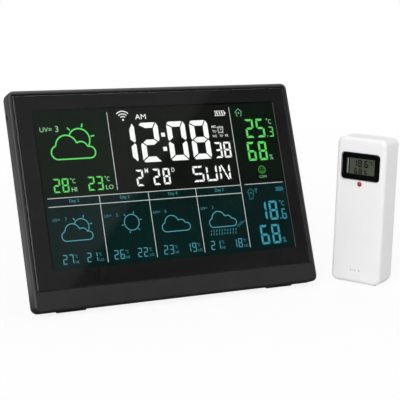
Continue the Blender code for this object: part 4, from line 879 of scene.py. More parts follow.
def turned(profile: Sequence[Pair], closed: bool) -> Mesh:
    """Turn a profile round the z axis.

    Args:
        profile: radius and height of each point, in metres.
        closed: whether the last point joins the first.

    Returns:
        The turned piece.
    """
    bm = bmesh.new()
    points = [bm.verts.new((radius, 0.0, height)) for radius, height in profile]
    pairs = list(zip(points, points[1:])) + ([(points[-1], points[0])] if closed else [])
    edges = [bm.edges.new(pair) for pair in pairs]
    bmesh.ops.spin(bm, geom=points + edges, cent=(0.0, 0.0, 0.0), axis=(0.0, 0.0, 1.0),
                   angle=math.tau, steps=TURN_STEPS, use_merge=True)
    bmesh.ops.remove_doubles(bm, verts=bm.verts, dist=SAME)
    bmesh.ops.recalc_face_normals(bm, faces=bm.faces)
    return bm


def coil(wire: float, base: float, tip: float, length: float, turns: int) -> Mesh:
    """Tapered spring that stands on its wide base round the z axis.

    Args:
        wire: radius of the wire.
        base: radius of the coil's middle line at its foot.
        tip: the same radius at its top.
        length: height of the spring.
        turns: number of turns.

    Returns:
        The spring.
    """
    bm = bmesh.new()
    bmesh.ops.create_circle(bm, cap_ends=True, segments=WIRE_SIDES, radius=wire)
    stand = Matrix.Translation((base, 0.0, wire)) @ QUARTER_UP
    bmesh.ops.transform(bm, matrix=stand, verts=bm.verts)
    rise, steps = length - 2 * wire, turns * COIL_STEPS
    bmesh.ops.spin(bm, geom=everything(bm), cent=(0.0, 0.0, 0.0), axis=(0.0, 0.0, 1.0),
                   dvec=(0.0, 0.0, rise / steps), angle=turns * math.tau, steps=steps,
                   use_merge=False)
    for vert in bm.verts:
        share = min(1.0, max(0.0, (vert.co.z - wire) / rise))
        out = Vector((vert.co.x, vert.co.y, 0.0)).normalized()
        vert.co += out * (tip - base) * share
    bmesh.ops.recalc_face_normals(bm, faces=bm.faces)
    return bm


def aim(bm: Mesh, place: Vector, way: Vector) -> None:
    """Lean a piece from the z axis along a way, with its foot at a place."""
    turn = way.to_track_quat("Z", "Y").to_matrix().to_4x4()
    bmesh.ops.transform(bm, matrix=Matrix.Translation(place) @ turn, verts=bm.verts)


def absorb(target: Mesh, source: Mesh) -> None:
    """Add one mesh to another.

    Args:
        target: the mesh that grows.
        source: the mesh that is added, which is freed.
    """
    carrier = bpy.data.meshes.new("carrier")
    source.to_mesh(carrier)
    source.free()
    target.from_mesh(carrier)
    bpy.data.meshes.remove(carrier)


def show(name: str, data: bpy.types.ID) -> bpy.types.Object:
    """Put data into the scene.

    Args:
        name: name of its object.
        data: a mesh, curve, camera or light.

    Returns:
        The object.
    """
    made = bpy.data.objects.new(name, data)
    bpy.context.scene.collection.objects.link(made)
    return made


@dataclass
class Assembly:
    """Base of every sub-assembly: its axes, and how its pieces join the model."""

    axes: LocalAxes
    body: str

    def piece(self, name: str, bm: Mesh, finish: Finish, slot: Slot,
              replaces: Sequence[str] = (), body: Optional[str] = None,
              crease: float = 28.0, even: bool = False) -> None:
        """Finish a shaped piece and put it on its body.

        Args:
            name: name of the piece.
            bm: its mesh in local axes, which is freed.
            finish: its finish.
            slot: the record's slot that the finish follows; not used.
            replaces: CAD nodes that the piece stands for.
            body: the body it rides on, if not the assembly's own.
            crease: angle in degrees above which an edge stays sharp.
            even: whether wide flat faces keep their shading beside rounded edges.
        """
        bmesh.ops.transform(bm, matrix=self.axes.matrix, verts=bm.verts)
        mesh = bpy.data.meshes.new(name)
        bm.to_mesh(mesh)
        bm.free()
        mesh.shade_smooth()
        mesh.set_sharp_from_angle(angle=math.radians(crease))
        mesh.materials.append(finish.material())
        made = show(name, mesh)
        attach(made, body or self.body)
        if replaces:
            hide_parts(*replaces)
        if even:
            made.modifiers.new("even_shading", "WEIGHTED_NORMAL").keep_sharp = True
        LOG.info("%s: %d faces, %s", name, len(mesh.polygons), finish.name)


# ---- flat artwork

class Align(Enum):
    """Which point of a label's base line stands at its place."""

    LEFT = "LEFT"
    CENTRE = "CENTER"


class Stencil:
    """Flat artwork in millimetres, later raised to thin solids on a panel."""

    def __init__(self) -> None:
        """Start with nothing drawn."""
        self.bm = bmesh.new()

    def patch(self, low: Pair, high: Pair, cuts: Sequence[Cut] = ()) -> None:
        """Draw a rectangle trimmed by straight cuts.

        Args:
            low: lower left corner.
            high: upper right corner.
            cuts: a point of each cut and the direction of what it removes.
        """
        piece = sheet_between(low, high)
        for point, away in cuts:
            bmesh.ops.bisect_plane(piece, geom=everything(piece), dist=NEAR, clear_outer=True,
                                   plane_co=(*point, 0.0), plane_no=(*away, 0.0))
        absorb(self.bm, piece)

    def stroke(self, start: Pair, end: Pair, width: float) -> None:
        """Draw a straight line.

        Args:
            start: one end.
            end: the other end.
            width: its width.
        """
        run = Vector(end) - Vector(start)
        piece = sheet_between((-run.length / 2, -width / 2), (run.length / 2, width / 2))
        middle = (Vector(start) + Vector(end)) / 2
        turn = Matrix.Rotation(math.atan2(run.y, run.x), 4, "Z")
        place = Matrix.Translation((*middle, 0.0)) @ turn
        bmesh.ops.transform(piece, matrix=place, verts=piece.verts)
        absorb(self.bm, piece)

    def strokes(self, centre: Pair, width: float, *lines: Ends, both: bool = False) -> None:
        """Draw straight lines round a centre.

        Args:
            centre: the centre.
            width: width of the lines.
            lines: start and end of each line, from the centre.
            both: whether each line is drawn again on the centre's left.
        """
        x, y = centre
        for side in SIDES if both else (1,):
            for left, low, right, high in lines:
                self.stroke((x + side * left, y + low), (x + side * right, y + high), width)

    def arc(self, centre: Pair, radius: float, start: float, end: float, width: float) -> None:
        """Draw part of a ring.

        Args:
            centre: centre of the ring.
            radius: radius of its middle line.
            start: first angle in radians.
            end: last angle in radians.
            width: width of the line.
        """
        piece = bmesh.new()
        middle = Vector((*centre, 0.0))
        out = Vector((math.cos(start), math.sin(start), 0.0))
        ends = [piece.verts.new(middle + out * (radius + side * width / 2)) for side in SIDES]
        sweep = abs(end - start)
        bmesh.ops.spin(piece, geom=[*ends, piece.edges.new(ends)], cent=middle,
                       axis=(0.0, 0.0, 1.0), angle=end - start,
                       use_merge=sweep > FULL_TURN,
                       steps=max(ARC_LEAST, math.ceil(sweep / ARC_STEP)))
        absorb(self.bm, piece)

    def ring(self, centre: Pair, radius: float, width: float) -> None:
        """Draw a whole ring."""
        self.arc(centre, radius, 0.0, math.tau, width)

    def disc(self, centre: Pair, radius: float) -> None:
        """Draw a filled disc.

        Args:
            centre: its centre.
            radius: its radius.
        """
        piece = bmesh.new()
        bmesh.ops.create_circle(piece, cap_ends=True, segments=DISC_SIDES, radius=radius)
        bmesh.ops.translate(piece, vec=(*centre, 0.0), verts=piece.verts)
        absorb(self.bm, piece)

    def words(self, text: str, place: Pair, height: float, bold: float = 0.0,
              squeeze: float = 1.0, align: Align = Align.LEFT) -> None:
        """Draw a label.

        Args:
            text: the label.
            place: the left end or the middle of its base line.
            height: height of its capitals.
            bold: how far its outline is pushed out.
            squeeze: width of the letters as a share of their usual width.
            align: which of the two stands at the place.
        """
        curve = bpy.data.curves.new("label", "FONT")
        curve.body, curve.size, curve.offset = text, height / CAPITAL, bold
        curve.align_x, curve.resolution_u = align.value, LETTER_STEPS
        label = show("label", curve)
        bpy.context.view_layer.update()
        piece = bmesh.new()
        piece.from_mesh(label.to_mesh())
        label.to_mesh_clear()
        bpy.data.objects.remove(label)
        bpy.data.curves.remove(curve)
        bmesh.ops.remove_doubles(piece, verts=piece.verts, dist=LETTER_MERGE)
        bmesh.ops.scale(piece, vec=(squeeze, 1.0, 1.0), verts=piece.verts)
        bmesh.ops.translate(piece, vec=(*place, 0.0), verts=piece.verts)
        absorb(self.bm, piece)

    def raised(self, origin: Vector, thickness: float, backwards: bool = False) -> Mesh:
        """Turn the artwork into thin solids that stand on a panel.

        Args:
            origin: local point where the artwork's own origin lies, on the panel.
            thickness: height of the solids.
            backwards: whether the panel faces the back instead of the front.

        Returns:
            The solids in local axes.
        """
        bmesh.ops.scale(self.bm, vec=(MM, MM, MM), verts=self.bm.verts)
        half_turn = Matrix.Rotation(math.pi if backwards else 0.0, 4, "Z")
        return thickened(self.bm, thickness,
                         Matrix.Translation(origin) @ half_turn @ QUARTER_UP)


def crossing(first: Pair, first_radius: float, second: Pair, second_radius: float,
             side: int) -> Pair:
    """Point where two circles cross.

    Args:
        first: centre of the first circle.
        first_radius: its radius.
        second: centre of the second circle.
        second_radius: its radius.
        side: 1 for the point left of the line between the centres, -1 for the other.

    Returns:
        The point.
    """
    run = Vector(second) - Vector(first)
    along = (run.length_squared + first_radius ** 2 - second_radius ** 2) / (2 * run.length)
    aside = math.sqrt(max(0.0, first_radius ** 2 - along ** 2))
    unit = run.normalized()
    return tuple(Vector(first) + unit * along + Vector((-unit.y, unit.x)) * aside * side)


@dataclass(frozen=True)
class SegmentFont:
    """Seven-segment digits with mitred ends; lengths in millimetres."""

    width: float
    height: float
    stroke: float
    gap: float = 0.3
    split: bool = False

    LIT = {"0": "abcdef", "1": "bc", "2": "abged", "3": "abgcd", "5": "afgcd",
           "6": "afgedc", "7": "abc", "8": "abcdefg", "9": "abcdfg", "S": "afgcd",
           "U": "fedcb", "N": "febcxy"}
    # Every point is a corner or waist, 0 or 1 across and 0, 1 or 2 up, and its steps to the
    # right and upwards in strokes. Lines that trim the segments: small letters for mitres
    # between segments, capitals for outer corners and waists.
    TRIMS = {
        "tl": ((0, 2, 0, -0.5), (0, 2, 1, -1)), "tr": ((1, 2, -0.45, 0), (1, 2, -1, -1)),
        "bl": ((0, 0, 0, 0.3), (0, 0, 1, 1)), "br": ((1, 0, -0.12, 0.1), (1, 0, -1, 1)),
        "ul": ((0, 1, 0.3, 0), (0, 1, 1, 0.5)), "ur": ((1, 1, -0.3, 0), (1, 1, -1, 0.5)),
        "dl": ((0, 1, 0.3, 0), (0, 1, 1, -0.5)), "dr": ((1, 1, -0.3, 0), (1, 1, -1, -0.5)),
        "TL": ((0, 2, 0, -0.45), (0, 2, 0.45, 0)), "TR": ((1, 2, -0.4, 0), (1, 2, 0, -0.7)),
        "BL": ((0, 0, 0, 0.4), (0, 0, 0.4, 0)), "BR": ((1, 0, -0.35, 0), (1, 0, 0, 0.55)),
        "UL": ((0, 1, 0, 0.4), (0, 1, 0.3, 0)), "UR": ((1, 1, 0, 0.4), (1, 1, -0.3, 0)),
        "DL": ((0, 1, 0, -0.4), (0, 1, 0.3, 0)), "DR": ((1, 1, 0, -0.4), (1, 1, -0.3, 0)),
    }
    # two corners of each segment's bar and the lines that trim it
    BARS = {
        "a": ((0, 2, 0, -1), (1, 2, 0, 0), ("tl", "tr", "TL")),
        "b": ((1, 1, -1, 0), (1, 2, 0, 0), ("tr", "TR", "ur", "UR")),
        "c": ((1, 0, -1, 0), (1, 1, 0, 0), ("br", "BR", "dr", "DR")),
        "d": ((0, 0, 0, 0), (1, 0, 0, 1), ("bl", "br", "BL")),
        "e": ((0, 0, 0, 0), (0, 1, 1, 0), ("bl", "dl", "DL")),
        "f": ((0, 1, 0, 0), (0, 2, 1, 0), ("tl", "ul", "UL")),
        "g": ((0, 1, 0.3, -0.5), (1, 1, -0.3, 0.5), ("ul", "ur", "dl", "dr")),
    }
    # halves of the slanting line of N
    SLANTS = {"x": ((0, 2, 1.25, -0.3), (0.5, 1, 0, 0.2)),
              "y": ((0.5, 1, 0, -0.2), (1, 0, -1.25, 0.3))}

    def point(self, across: float, up: float, right: float, above: float) -> Vector:
        """A point of a character from its lower left corner."""
        return Vector((across * self.width + right * self.stroke,
                       up * self.height / 2 + above * self.stroke))

    def draw(self, stencil: Stencil, text: str, place: Pair, pitch: float = 0.0) -> None:
        """Draw a row of characters.

        Args:
            stencil: the artwork to draw on.
            text: the characters.
            place: lower left corner of the first one.
            pitch: distance between characters, where there are more than one.
        """
        for number, character in enumerate(text):
            for segment in self.LIT[character]:
                self.draw_segment(stencil, segment, (place[0] + number * pitch, place[1]))

    def draw_segment(self, stencil: Stencil, segment: str, place: Pair) -> None:
        """Draw one segment of a character.

        Args:
            stencil: the artwork to draw on.
            segment: the segment's letter.
            place: lower left corner of the character.
        """
        shift = Vector(place)
        if segment in self.SLANTS:
            start, end = (self.point(*tip) + shift for tip in self.SLANTS[segment])
            stencil.stroke(tuple(start), tuple(end), self.stroke * 0.75)
            return
        *corners, names = self.BARS[segment]
        low, high = (self.point(*corner) + shift for corner in corners)
        cuts = []
        for name in names:
            first, second = (self.point(*tip) + shift for tip in self.TRIMS[name])
            run = (second - first).normalized()
            away = Vector((-run.y, run.x))
            if away.dot((low + high) / 2 - first) > 0:
                away = -away
            gap = self.gap / 2 if name.islower() else 0.0
            cuts.append((tuple(first - away * gap), tuple(away)))
        halves = [[]]
        if self.split and segment in "adg":
            middle = place[0] + self.width / 2
            halves = [[((middle + side * self.gap / 3, place[1]), (-side, 0.0))]
                      for side in SIDES]
        for half in halves:
            stencil.patch(tuple(low), tuple(high), cuts + half)


@dataclass(frozen=True)
class Icons:
    """Weather and status marks drawn on a stencil with lines of one width."""

    stencil: Stencil
    line: float

    # from the lower left corner of a cloud 29.7 wide: centre and radius of its bumps and of
    # the sun behind it; then the angles of the sun's rays, their ends outside its rim, and
    # the radii of the radio fan's rings
    BUMPS = (((4.4, 4.4), 4.4), ((10.65, 8.2), 7.26), ((20.35, 6.35), 4.6), ((25.85, 3.8), 3.8))
    SUN = ((19.75, 12.26), 7.15)
    SUN_RAYS = (132.0, 72.0, 12.0)
    RAY = (1.1, 3.6)
    FAN_RADII = (2.3, 4.0, 5.8)
    # lines from each mark's place: the right half of a house, its aerial, the hands of a
    # clock, an umbrella; then where the bars of a battery start
    HOUSE = ((2.9, 0.1, -0.1, 2.7), (1.9, 0.3, 1.7, -2.3), (1.8, -2.3, 0.9, -2.5))
    AERIAL = ((4.2, -0.6, 4.2, 2.5), (4.2, 1.1, 3.1, 2.6), (4.2, 1.1, 5.3, 2.6))
    HANDS = ((0.0, -0.1, 0.0, 1.2), (-0.1, 0.0, 0.8, 0.0))
    UMBRELLA = ((1.3, 0.2, 6.4, 4.0), (1.5, 1.4, 3.7, 3.4), (3.7, 3.4, 4.0, 2.2))
    CHARGE = (-2.6, -0.75, 1.1)

    def cloud(self, place: Pair, size: float, sunny: bool = False) -> None:
        """Draw a cloud's outline, and the sun that stands behind it.

        Args:
            place: the cloud's lower left corner.
            size: its size, 1 for 29.7 wide.
            sunny: whether the sun shows behind it.
        """
        bumps = [self.placed(bump, place, size) for bump in self.BUMPS]
        meets = [crossing(*one, *other, 1) for one, other in zip(bumps, bumps[1:])]
        first, last = ((bumps[end][0][0], place[1]) for end in (0, -1))
        for bump, start, end in zip(bumps, [first, *meets], [*meets, last]):
            self.outline(*bump, start, end)
        self.stencil.stroke(first, last, self.line)
        if sunny:
            sun = self.placed(self.SUN, place, size)
            self.outline(*sun, crossing(*sun, *bumps[1], -1), crossing(*sun, *bumps[2], 1))
            self.rays(*sun, self.SUN_RAYS, size)

    @staticmethod
    def placed(circle: tuple[Pair, float], place: Pair, size: float) -> tuple[Pair, float]:
        """Centre and radius of a circle at a place and size."""
        (x, y), radius = circle
        return (x * size + place[0], y * size + place[1]), radius * size

    def outline(self, centre: Pair, radius: float, start: Pair, end: Pair) -> None:
        """Draw the clockwise stretch of a circle between two of its points."""
        first, last = (math.atan2(p[1] - centre[1], p[0] - centre[0]) for p in (start, end))
        self.stencil.arc(centre, radius, first, last - math.tau * (last > first), self.line)

    def rays(self, centre: Pair, radius: float, turns: Iterable[float], size: float) -> None:
        """Draw short rays round a sun.

        Args:
            centre: centre of the sun.
            radius: its radius.
            turns: angle of each ray in degrees.
            size: size of the rays.
        """
        for turn in turns:
            x, y = math.cos(math.radians(turn)), math.sin(math.radians(turn))
            near, far = (radius + reach * size for reach in self.RAY)
            self.lines(centre, (x * near, y * near, x * far, y * far))

    def lines(self, centre: Pair, *ends: Ends, both: bool = False) -> None:
        """Draw lines round a centre, and on both sides of it where asked."""
        self.stencil.strokes(centre, self.line, *ends, both=both)

    def sun(self, centre: Pair, radius: float) -> None:
        """Draw a whole sun with six rays."""
        self.stencil.ring(centre, radius, self.line)
        self.rays(centre, radius, range(12, 372, 60), 0.6)

    def rain(self, start: Pair, end: float, pitch: float) -> None:
        """Draw two rows of slanting drops.

        Args:
            start: top of the first drop.
            end: where the rows end on the right.
            pitch: distance between drops.
        """
        for left, top in (start, (start[0] - 0.4, start[1] - 2.2)):
            for drop in range(math.ceil((end - left) / pitch)):
                self.lines((left + drop * pitch, top), (0.0, 0.0, -0.35, -1.4))

    def fan(self, place: Pair, size: float) -> None:
        """Draw the radio fan over the middle of its dot.

        Args:
            place: the middle of its dot.
            size: its size, 1 for 11.6 mm across the outer ring.
        """
        for radius in self.FAN_RADII:
            self.stencil.arc(place, radius * size, math.pi / 4, math.pi * 3 / 4, self.line)
        self.stencil.disc(place, 0.65 * size)

    def house(self, centre: Pair, outdoors: bool) -> None:
        """Draw a house.

        Args:
            centre: middle of the house.
            outdoors: whether an aerial stands beside it.
        """
        self.lines(centre, *self.HOUSE, both=True)
        self.stencil.disc((centre[0], centre[1] - 0.4), 0.5)
        if outdoors:
            self.lines(centre, *self.AERIAL)

    def battery(self, centre: Pair, size: float) -> None:
        """Draw a full battery with a notched end.

        Args:
            centre: middle of the battery.
            size: its size, 1 for 8 wide.
        """
        x, y = centre
        left, right, half = -4.0 * size, 3.2 * size, 1.55 * size
        for side in (-half, half):
            self.lines(centre, (left, side, right, side), (left, side, left + 0.9 * size, 0.0))
        self.lines(centre, (right, half, right, -half))
        self.stencil.patch((x + right, y - 0.7 * size),
                           (x + right + 0.9 * size, y + 0.7 * size))
        for start in (x + bar * size for bar in self.CHARGE):
            self.stencil.patch((start, y - 1.15 * size), (start + 1.1 * size, y + 1.15 * size),
                               [((start + 0.2 * size, y), (-1.0, -0.3)),
                                ((start + 0.9 * size, y), (1.0, 0.3))])

    def alarm_clock(self, centre: Pair) -> None:
        """Draw an alarm clock with its bells, hands and feet.

        Args:
            centre: middle of its dial.
        """
        self.stencil.ring(centre, 1.9, self.line)
        self.stencil.strokes(centre, self.line * 0.8, *self.HANDS)
        self.lines(centre, (1.3, -1.6, 1.8, -2.4), both=True)
        for lean in (math.pi / 4, math.pi * 3 / 4):
            self.stencil.arc(centre, 2.75, lean - 0.28, lean + 0.28, self.line)
        self.stencil.disc((centre[0], centre[1] + 2.6), 0.3)

    def face(self, centre: Pair) -> None:
        """Draw the comfort mark, a plain round face.

        Args:
            centre: its middle.
        """
        x, y = centre
        self.stencil.ring(centre, 2.5, self.line)
        for side in SIDES:
            self.stencil.disc((x + side * 0.9, y + 0.7), 0.24)
        self.stencil.arc((x, y + 0.2), 1.4, math.radians(215), math.radians(325), self.line)

    def umbrella(self, place: Pair) -> None:
        """Draw a folded umbrella leaning to the right.

        Args:
            place: its lower left corner.
        """
        self.lines(place, *self.UMBRELLA)
        self.stencil.arc((place[0] + 0.9, place[1] + 0.7), 0.7, math.radians(50),
                         math.radians(310), self.line)


# ---- console front

@dataclass
class FrontWindow(Assembly):
    """Clear front window with its printed border and polished bevel."""

    corner: float = 0.0012
    bevel: float = 0.0007
    bevel_drop: float = 0.00036
    print_inset: float = 0.0004
    print_gap: float = 0.00004
    print_thickness: float = 0.00004
    opening_low: Pair = (-0.0864, 0.0245)
    opening_high: Pair = (0.0888, 0.1268)

    def build(self) -> None:
        """Build the window and its border."""
        box = self.axes.box("display_window")
        slab = Box(box.low + Vector((0.0, self.bevel_drop, 0.0)), box.high)
        glass = rounded_block(slab, self.corner)
        step_face(glass, -1, self.bevel, self.bevel_drop)
        self.piece("front_window", glass, CLEAR_WINDOW, Slot.WINDOW, ["display_window"],
                   crease=GLASS_CREASE)
        ink = box.inset(self.print_inset)
        border = sheet_between(ink.low.xz, ink.high.xz)
        cut_window(border, 1, self.opening_low, self.opening_high)
        depth = box.high.y + self.print_gap + self.print_thickness
        place = Matrix.Translation((0.0, depth, 0.0)) @ QUARTER_UP
        self.piece("window_border", thickened(border, self.print_thickness, place),
                   BORDER_INK, Slot.WINDOW)


@dataclass
class DisplayArt(Assembly):
    """The lit display: glass cell, coloured fields, rules, digits, labels and weather marks.

    Places on it are in millimetres from the lower middle of the glass cell.
    """

    field_depth: float = 0.00003
    art_gap: float = 0.00003
    art_depth: float = 0.00003
    low_corner: Pair = (-85.5, 0.3)
    high_corner: Pair = (88.3, 103.4)
    seal_gap: float = 0.05
    seal_margin: float = 0.4
    rule: float = 0.38
    left_rule: float = -35.9
    right_rule: float = 53.7
    middle_rule: float = 47.4
    header_rule: float = 42.0
    column_rules: tuple[float, ...] = (-49.0, -14.9, 19.5)
    clock_row: float = 66.75
    seconds_row: float = 66.7
    date_row: float = 51.4
    weekday_row: float = 51.5
    today_row: float = 50.7
    indoor_rows: Pair = (79.35, 63.45)
    outdoor_rows: Pair = (22.05, 5.95)
    forecast_row: float = 5.7
    clock: SegmentFont = SegmentFont(13.6, 26.4, 3.6, 0.75)
    seconds: SegmentFont = SegmentFont(5.4, 10.9, 1.3, 0.4)
    date: SegmentFont = SegmentFont(5.1, 10.8, 1.3, 0.45)
    weekday: SegmentFont = SegmentFont(8.1, 10.7, 1.32, 0.5, True)
    climate: SegmentFont = SegmentFont(6.4, 13.1, 1.5, 0.5)
    tenths: SegmentFont = SegmentFont(3.6, 7.1, 0.8, 0.3)
    today: SegmentFont = SegmentFont(4.5, 9.0, 1.0, 0.4)
    forecast: SegmentFont = SegmentFont(2.9, 5.9, 0.55, 0.22)
    white: LitArt = LitArt("lit_white", (1.0, 1.0, 1.0), 1.1)
    rule_white: LitArt = LitArt("lit_rule", (0.74, 0.79, 0.78))
    dim_white: LitArt = LitArt("lit_dim_white", (0.92, 0.93, 0.91))
    green: LitArt = LitArt("lit_green", (0.13, 0.79, 0.15))
    dim_green: LitArt = LitArt("lit_dim_green", (0.30, 0.70, 0.34))
    blue: LitArt = LitArt("lit_blue", (0.045, 0.34, 0.44))
    mark_blue: LitArt = LitArt("lit_mark_blue", (0.09, 0.40, 0.47))
    dim_blue: LitArt = LitArt("lit_dim_blue", (0.06, 0.28, 0.33))
    origin: Vector = field(default_factory=Vector)

    def build(self) -> None:
        """Build the glass cell, its fields and everything drawn on it."""
        box = self.axes.box("lcd_panel")
        self.origin = Vector((box.middle.x, box.low.y, box.low.z))
        cell = rounded_block(box, 0.0003, 0.0002, 0.0002, 2, 2)
        self.piece("display_cell", cell, CELL_GLASS, Slot.DISPLAY, ["lcd_panel"])
        self.build_fields(box.size.x / 2 / MM - self.seal_margin)
        for build in (self.build_rules, self.build_clock, self.build_today,
                      self.build_indoor, self.build_outdoor, self.build_forecast):
            build()

    def panel(self, name: str, low: Pair, high: Pair, finish: Finish) -> None:
        """Build a tinted rectangle on the glass cell.

        Args:
            name: name of the piece.
            low: its lower left corner.
            high: its upper right corner.
            finish: its finish.
        """
        stencil = Stencil()
        stencil.patch(low, high)
        self.piece(name, stencil.raised(self.origin, self.field_depth), finish, Slot.DISPLAY)

    def art(self, name: str, stencil: Stencil, finish: Finish) -> None:
        """Raise artwork on the glass cell and add it as one piece."""
        base = self.origin - Vector((0.0, self.field_depth + self.art_gap, 0.0))
        self.piece(name, stencil.raised(base, self.art_depth), finish, Slot.DISPLAY)

    def build_fields(self, edge: float) -> None:
        """Build the five tinted fields and the grey seal beside them.

        Args:
            edge: where the seal ends on the right.
        """
        (left, foot), (right, top) = self.low_corner, self.high_corner
        inner, outer, middle = self.left_rule, self.right_rule, self.middle_rule
        for name, low, high, colour in (
                ("field_today", (left, middle), (inner, top), (0.0016, 0.0068, 0.0022)),
                ("field_clock", (inner, middle), (outer, top), (0.0038, 0.0048, 0.0028)),
                ("field_indoor", (outer, middle), (right, top), (0.0016, 0.0052, 0.0024)),
                ("field_forecast", (left, foot), (outer, middle), (0.0003, 0.0110, 0.0100)),
                ("field_outdoor", (outer, foot), (right, middle), (0.0004, 0.0092, 0.0092))):
            self.panel(name, low, high, DisplayField(name + "_tint", colour))
        self.panel("display_seal", (right + self.seal_gap, foot), (edge, top), SEAL_GREY)

    def build_rules(self) -> None:
        """Build the thin rules between the fields."""
        stencil, middle = Stencil(), self.middle_rule
        stencil.strokes((0.0, 0.0), self.rule,
                        (self.left_rule, 101.0, self.left_rule, 50.1),
                        (self.right_rule, 101.2, self.right_rule, 5.0),
                        (-83.6, middle, 53.3, middle),
                        (56.7, middle + 0.1, 86.6, middle + 0.1),
                        (-83.6, self.header_rule, 53.3, self.header_rule),
                        *((column, middle, column, 4.6) for column in self.column_rules))
        self.art("display_rules", stencil, self.rule_white)

    def build_clock(self) -> None:
        """Build the time, date and status marks of the middle field."""
        stencil, marks = Stencil(), Stencil()
        for font, text, left, row, pitch in (
                (self.clock, "1", -31.9, self.clock_row, 0.0),
                (self.clock, "2", -14.9, self.clock_row, 0.0),
                (self.clock, "0", 5.0, self.clock_row, 0.0),
                (self.clock, "8", 21.85, self.clock_row, 0.0),
                (self.seconds, "38", 38.3, self.seconds_row, 6.75),
                (self.date, "2", -21.7, self.date_row, 0.0),
                (self.date, "28", -9.75, self.date_row, 7.15),
                (self.weekday, "SUN", 19.3, self.weekday_row, 10.0)):
            font.draw(stencil, text, (left, row), pitch)
        for height in (75.0, 84.55):
            stencil.patch((0.45, height - 1.35), (3.15, height + 1.35))
        stencil.words("AM", (-16.5, 95.6), 3.4, squeeze=1.15)
        Icons(stencil, 0.62).fan((-25.2, 95.6), 1.0)
        Icons(stencil, 0.36).battery((46.3, 97.4), 1.02)
        self.art("clock_readings", stencil, self.white)
        for text, place, height, squeeze in (
                ("M", (-15.4, 59.7), 3.3, 0.78), ("D", (3.8, 59.4), 2.8, 0.85),
                ("MO", (38.3, 87.5), 1.7, 0.9), ("TU", (38.5, 84.3), 1.7, 0.9),
                ("WE", (38.1, 81.0), 1.7, 0.9), ("TH", (43.4, 81.0), 1.7, 0.85),
                ("FR", (47.7, 81.0), 1.7, 0.9)):
            marks.words(text, place, height, 0.01, squeeze)
        Icons(marks, 0.42).alarm_clock((44.75, 86.0))
        self.art("status_marks", marks, self.dim_white)

    @staticmethod
    def units(stencil: Stencil, place: Pair, height: float) -> None:
        """Draw the degree mark and its letter.

        Args:
            stencil: the artwork to draw on.
            place: lower left corner of the letter.
            height: height of the letter.
        """
        stencil.ring((place[0] - 0.25 * height, place[1] + 0.98 * height), 0.13 * height,
                     0.10 * height)
        stencil.words("C", place, height, 0.02, 0.75)

    def build_today(self) -> None:
        """Build today's weather, its highest and lowest temperature and the UV number."""
        stencil, labels = Stencil(), Stencil()
        Icons(stencil, 0.9).cloud((-76.95, 71.8), 1.0, sunny=True)
        for text, left in (("28", -78.5), ("23", -55.3)):
            self.today.draw(stencil, text, (left, self.today_row), 5.75)
        self.art("today_readings", stencil, self.green)
        labels.words("UV=", (-83.0, 89.9), 3.0, 0.02, 1.05)
        labels.words("3", (-72.7, 89.6), 3.9, 0.03)
        for left, label in ((-67.1, "HI"), (-43.8, "LO")):
            labels.words(label, (left, 50.9), 2.8, 0.04, 1.05)
            self.units(labels, (left + 1.3, 56.2), 2.9)
        self.art("today_labels", labels, self.dim_green)

    def climate_block(self, digits: Stencil, labels: Stencil, degrees: tuple[str, str],
                      humidity: str, rows: Pair) -> None:
        """Draw temperature over humidity.

        Args:
            digits: the artwork that carries the digits.
            labels: the artwork that carries the units.
            degrees: whole degrees and tenths.
            humidity: humidity.
            rows: base lines of the two rows.
        """
        upper, lower = rows
        self.climate.draw(digits, degrees[0], (64.15, upper), 8.45)
        digits.patch((80.2, upper + 0.3), (81.0, upper + 1.1))
        self.tenths.draw(digits, degrees[1], (81.95, upper + 0.1))
        self.units(labels, (82.6, upper + 9.2), 3.3)
        self.climate.draw(digits, humidity, (63.1, lower), 8.65)
        labels.words("%", (79.4, lower + 0.2), 3.6, squeeze=0.8)

    def build_indoor(self) -> None:
        """Build the indoor climate and its comfort mark."""
        digits, labels = Stencil(), Stencil()
        self.climate_block(digits, labels, ("25", "3"), "68", self.indoor_rows)
        Icons(labels, 0.34).house((60.6, 97.4), False)
        Icons(digits, 0.28).face((71.85, 57.0))
        labels.words("COM", (71.85, 51.4), 1.6, 0.0, 1.1, Align.CENTRE)
        self.art("indoor_readings", digits, self.green)
        self.art("indoor_labels", labels, self.dim_green)

    def build_outdoor(self) -> None:
        """Build the outdoor climate and the sensor's marks."""
        digits, labels = Stencil(), Stencil()
        self.climate_block(digits, labels, ("18", "6"), "68", self.outdoor_rows)
        Icons(labels, 0.3).house((60.5, 41.9), True)
        labels.words("OUT", (60.2, 37.1), 1.3, align=Align.CENTRE)
        Icons(digits, 0.24).battery((83.0, 42.95), 0.72)
        self.art("outdoor_readings", digits, self.blue)
        self.art("outdoor_labels", labels, self.dim_blue)

